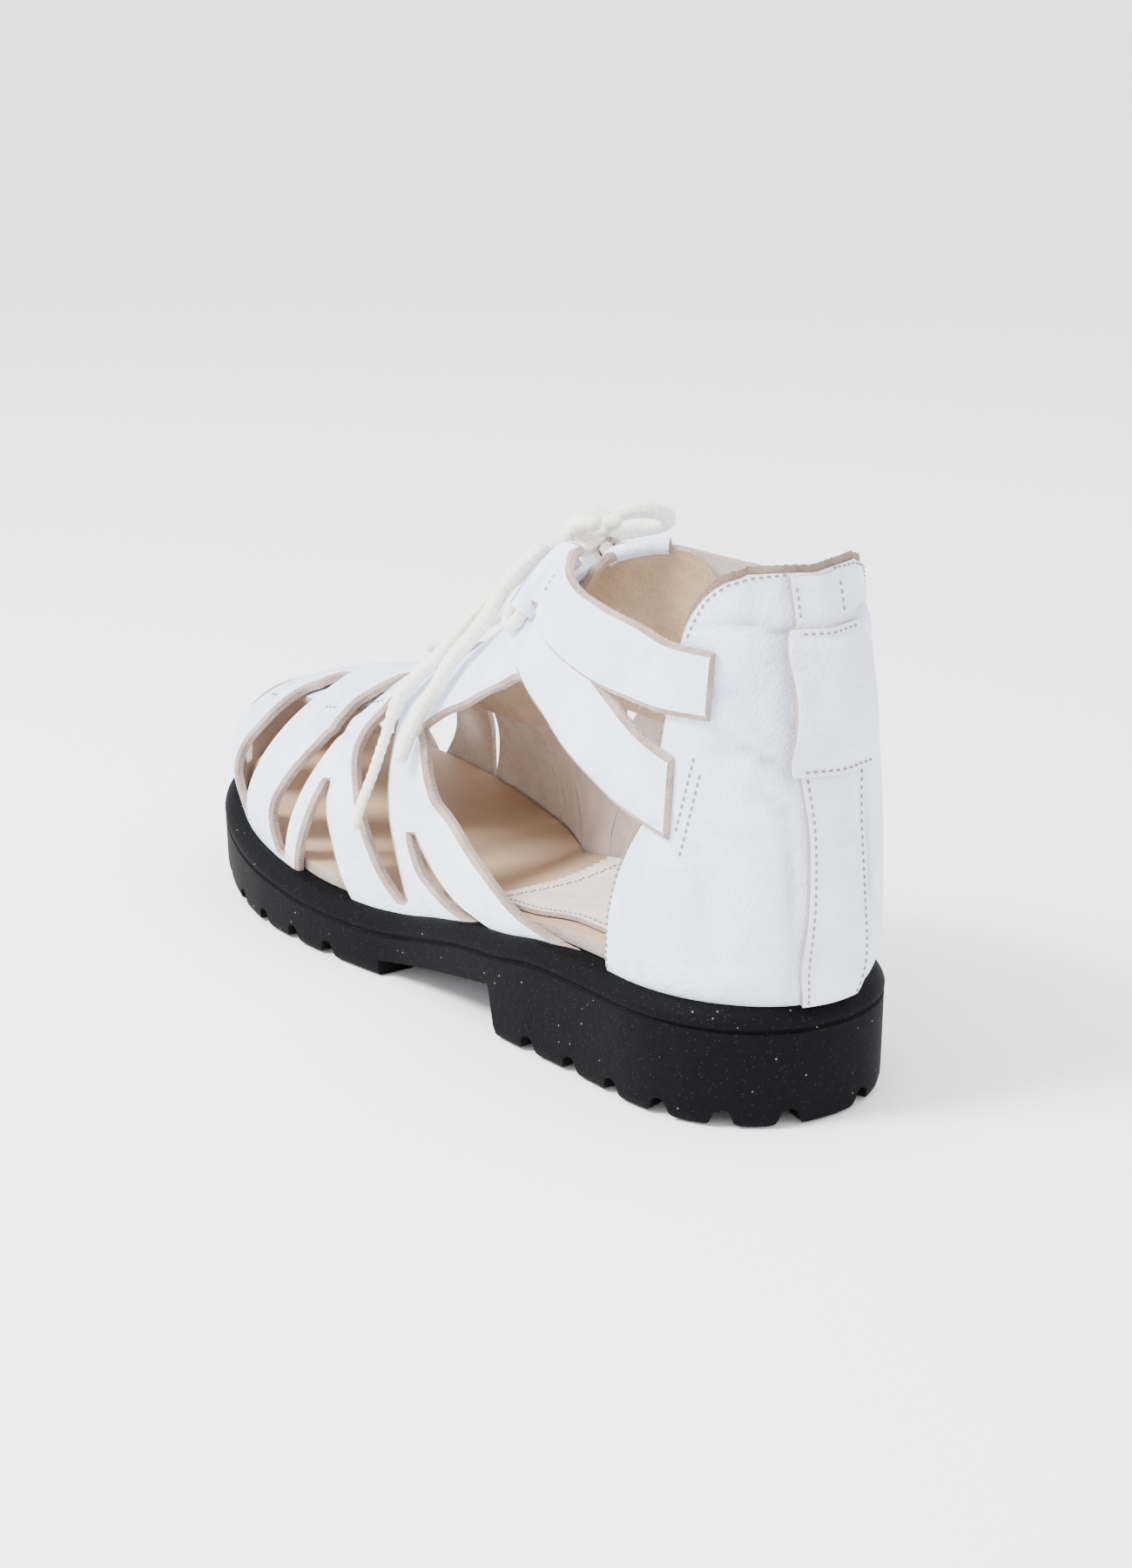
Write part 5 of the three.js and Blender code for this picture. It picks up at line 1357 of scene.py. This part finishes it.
wall = shoe["wall"]
strapTop = upperLook["strapLift"] + upperLook["strapWall"]
topStrapTop = upperLook["topStrapLift"] + upperLook["strapWall"]
collar = [(0.0045, 0.955), (0.026, 0.94), (0.046, 0.905), (0.062, 0.85), (0.072, 0.79), (0.078, 0.745)]
front = [(0.095, 0.6), (0.105, 0.5), (0.118, 0.44), (0.14, 0.35), (0.151, 0.26), (0.155, 0.15), (0.157, 0.02)]
rows = [(softHeel, atStops(collar), wall), (softHeel, atStops(front), wall)]
rows += [(softHeel, [(-t, r) for t, r in atStops(collar)], wall)]
for stops in ([(0.061, 0.56), (0.0745, 0.43)], [(0.0555, 0.535), (0.069, 0.4)]):
    rows.append((softHeel, atStops(stops), wall))
rows.append((softHeel, [(-t, r) for t, r in atStops([(0.085, 0.57), (0.09, 0.44)])], wall))
for side in (1, -1):
    rows.append((onSide(side), atStops([(0.43, 0.71), (0.427, 0.8)]), topStrapTop))
stripTop = heelBase() + strip["wall"]
for share in (0.84, -0.84):
    rows.append((stripPoint, [(0.235, share), (0.655, share)], stripTop))
    rows.append((stripPoint, [(0.915, share), (0.975, share)], stripTop))
for up in (0.6575, 0.891):  # the pull loop's two seams
    rows.append((lambda s, u, lift: stripPoint(u, s * 13, lift), [(-0.08, up), (0.08, up)],
                 stripTop + pullBand["gap"] + pullBand["wall"]))
for at, rise in ((0.879, 0.62), (0.7355, 0.607), (0.6625, 0.631)):  # tacks where the straps cross the centre
    rows.append((softLast, atStops([(at - 0.012, 1 - rise), (at + 0.012, 1 - rise)]), wall))
tongueRow = [(0.309, 0.76), (0.335, 0.84), (0.363, 0.905), (0.392, 0.91), (0.45, 0.97)]
rows.append((onSide(-1), atStops(tongueRow), -0.4))
stitches("upperStitches", rows)
sockTop = insole["sockSeat"] + insole["sockWall"]
stitches("sockStitches", [(sockPoint, [(0.955, -0.85), (0.955, 0.76)], sockTop),
                          (sockPoint, [(0.3, 0.79), (0.95, 0.79)], sockTop)])

# Loose fibres on the cut edges

fuzz = {"pitch": 0.55, "length": (0.5, 1.5), "radius": 0.035, "seed": 7, "below": 0.9}
# Collagen fibres pulled from the cut edge: off-white and matt, drawn a little thicker so that they show
fibreWhite = startMaterial("leatherFibre", {"Roughness": 0.9, "Sheen Weight": 0.3,
                                            "Base Color": linearOf("#efece8")})[0]


def fibres(name, lines):
    chance = np.random.default_rng(fuzz["seed"])
    points, faces = [], []
    for place, stops, lift in lines:
        stops = alongLine(atStops(stops), fuzz["pitch"], panel["scale"])
        roots = place(stops[:, 0], stops[:, 1], lift)
        tips = place(stops[:, 0], stops[:, 1], lift + 1) - roots
        for root, outward in zip(roots, tips):
            lean = unitRows(outward + chance.normal(0, 0.75, 3) + np.array([0, 0, 0.8]))
            reach = chance.uniform(*fuzz["length"])
            side = unitRows(np.cross(lean, chance.normal(0, 1, 3)))
            other = np.cross(lean, side)
            bend = root + lean * reach * 0.6 + side * chance.uniform(-0.2, 0.2)
            start = len(points)
            for centre, size in ((root, 1), (bend, 0.8)):
                for k in range(3):
                    angle = 2 * math.pi * k / 3
                    points.append(centre + fuzz["radius"] * size * (math.cos(angle) * side
                                                                    + math.sin(angle) * other))
            points.append(bend + (lean + 0.4 * side) * reach * 0.4)
            for k in range(3):
                n = (k + 1) % 3
                faces += [(start + k, start + n, start + 3 + n, start + 3 + k),
                          (start + 3 + k, start + 3 + n, start + 6)]
            faces.append((start + 2, start + 1, start))
    return standFor(newPiece(name, points, faces, [fibreWhite]), "upper_leather")


def tableEdge(table, name, fromAt, toAt):
    at = np.linspace(fromAt, toAt, 12)
    return list(zip(at, column(table, name, at)))


fibres("edgeFibres", [
    (onSide(1), tableEdge(upperStrap, "top", 0.06, 0.42), topStrapTop - fuzz["below"]),
    (onSide(1), tableEdge(upperStrap, "low", 0.06, 0.3), topStrapTop - fuzz["below"]),
    (onSide(1), tableEdge(lowerStrap, "top", 0.09, 0.2), strapTop - fuzz["below"]),
    (onSide(-1), tableEdge(upperStrap, "top", 0.11, 0.42), topStrapTop - fuzz["below"]),
    (onSide(1), tableEdge(eyestay, "low", 0.4, 0.55), wall - fuzz["below"]),
])
print("stitches made")

# Floor and light

bpy.ops.mesh.primitive_plane_add(size=80, location=(0, 0, -0.0004))
floor = bpy.context.object
floor.name = "studioFloor"
# Matt seamless background paper: white, with hardly any sheen
floor.data.materials.append(startMaterial("palePaper", {"Roughness": 0.9, "Specular IOR Level": 0.1,
                                                        "Base Color": linearOf("#ffffff")})[0])

studio = {"world": 2.5, "key": 42, "fill": 2}


def areaLight(name, place, target, size, power):
    data = bpy.data.lights.new(name, "AREA")
    data.shape = "DISK"
    data.size = size
    data.energy = power
    light = bpy.data.objects.new(name, data)
    light.location = place
    light.rotation_euler = (Vector(target) - Vector(place)).to_track_quat("-Z", "Y").to_euler()
    bpy.context.collection.objects.link(light)


world = bpy.data.worlds.new("studio")
bpy.context.scene.world = world
world.use_nodes = True
world.node_tree.nodes["Background"].inputs[0].default_value = linearOf("#fbfcff")
world.node_tree.nodes["Background"].inputs[1].default_value = studio["world"]
areaLight("keyLight", (0.25, 0.85, 1.05), (0.08, 0, 0.05), 0.45, studio["key"])
areaLight("fillLight", (-1.0, -0.3, 0.8), (0.08, 0, 0.05), 0.9, studio["fill"])
print("floor and lights placed")
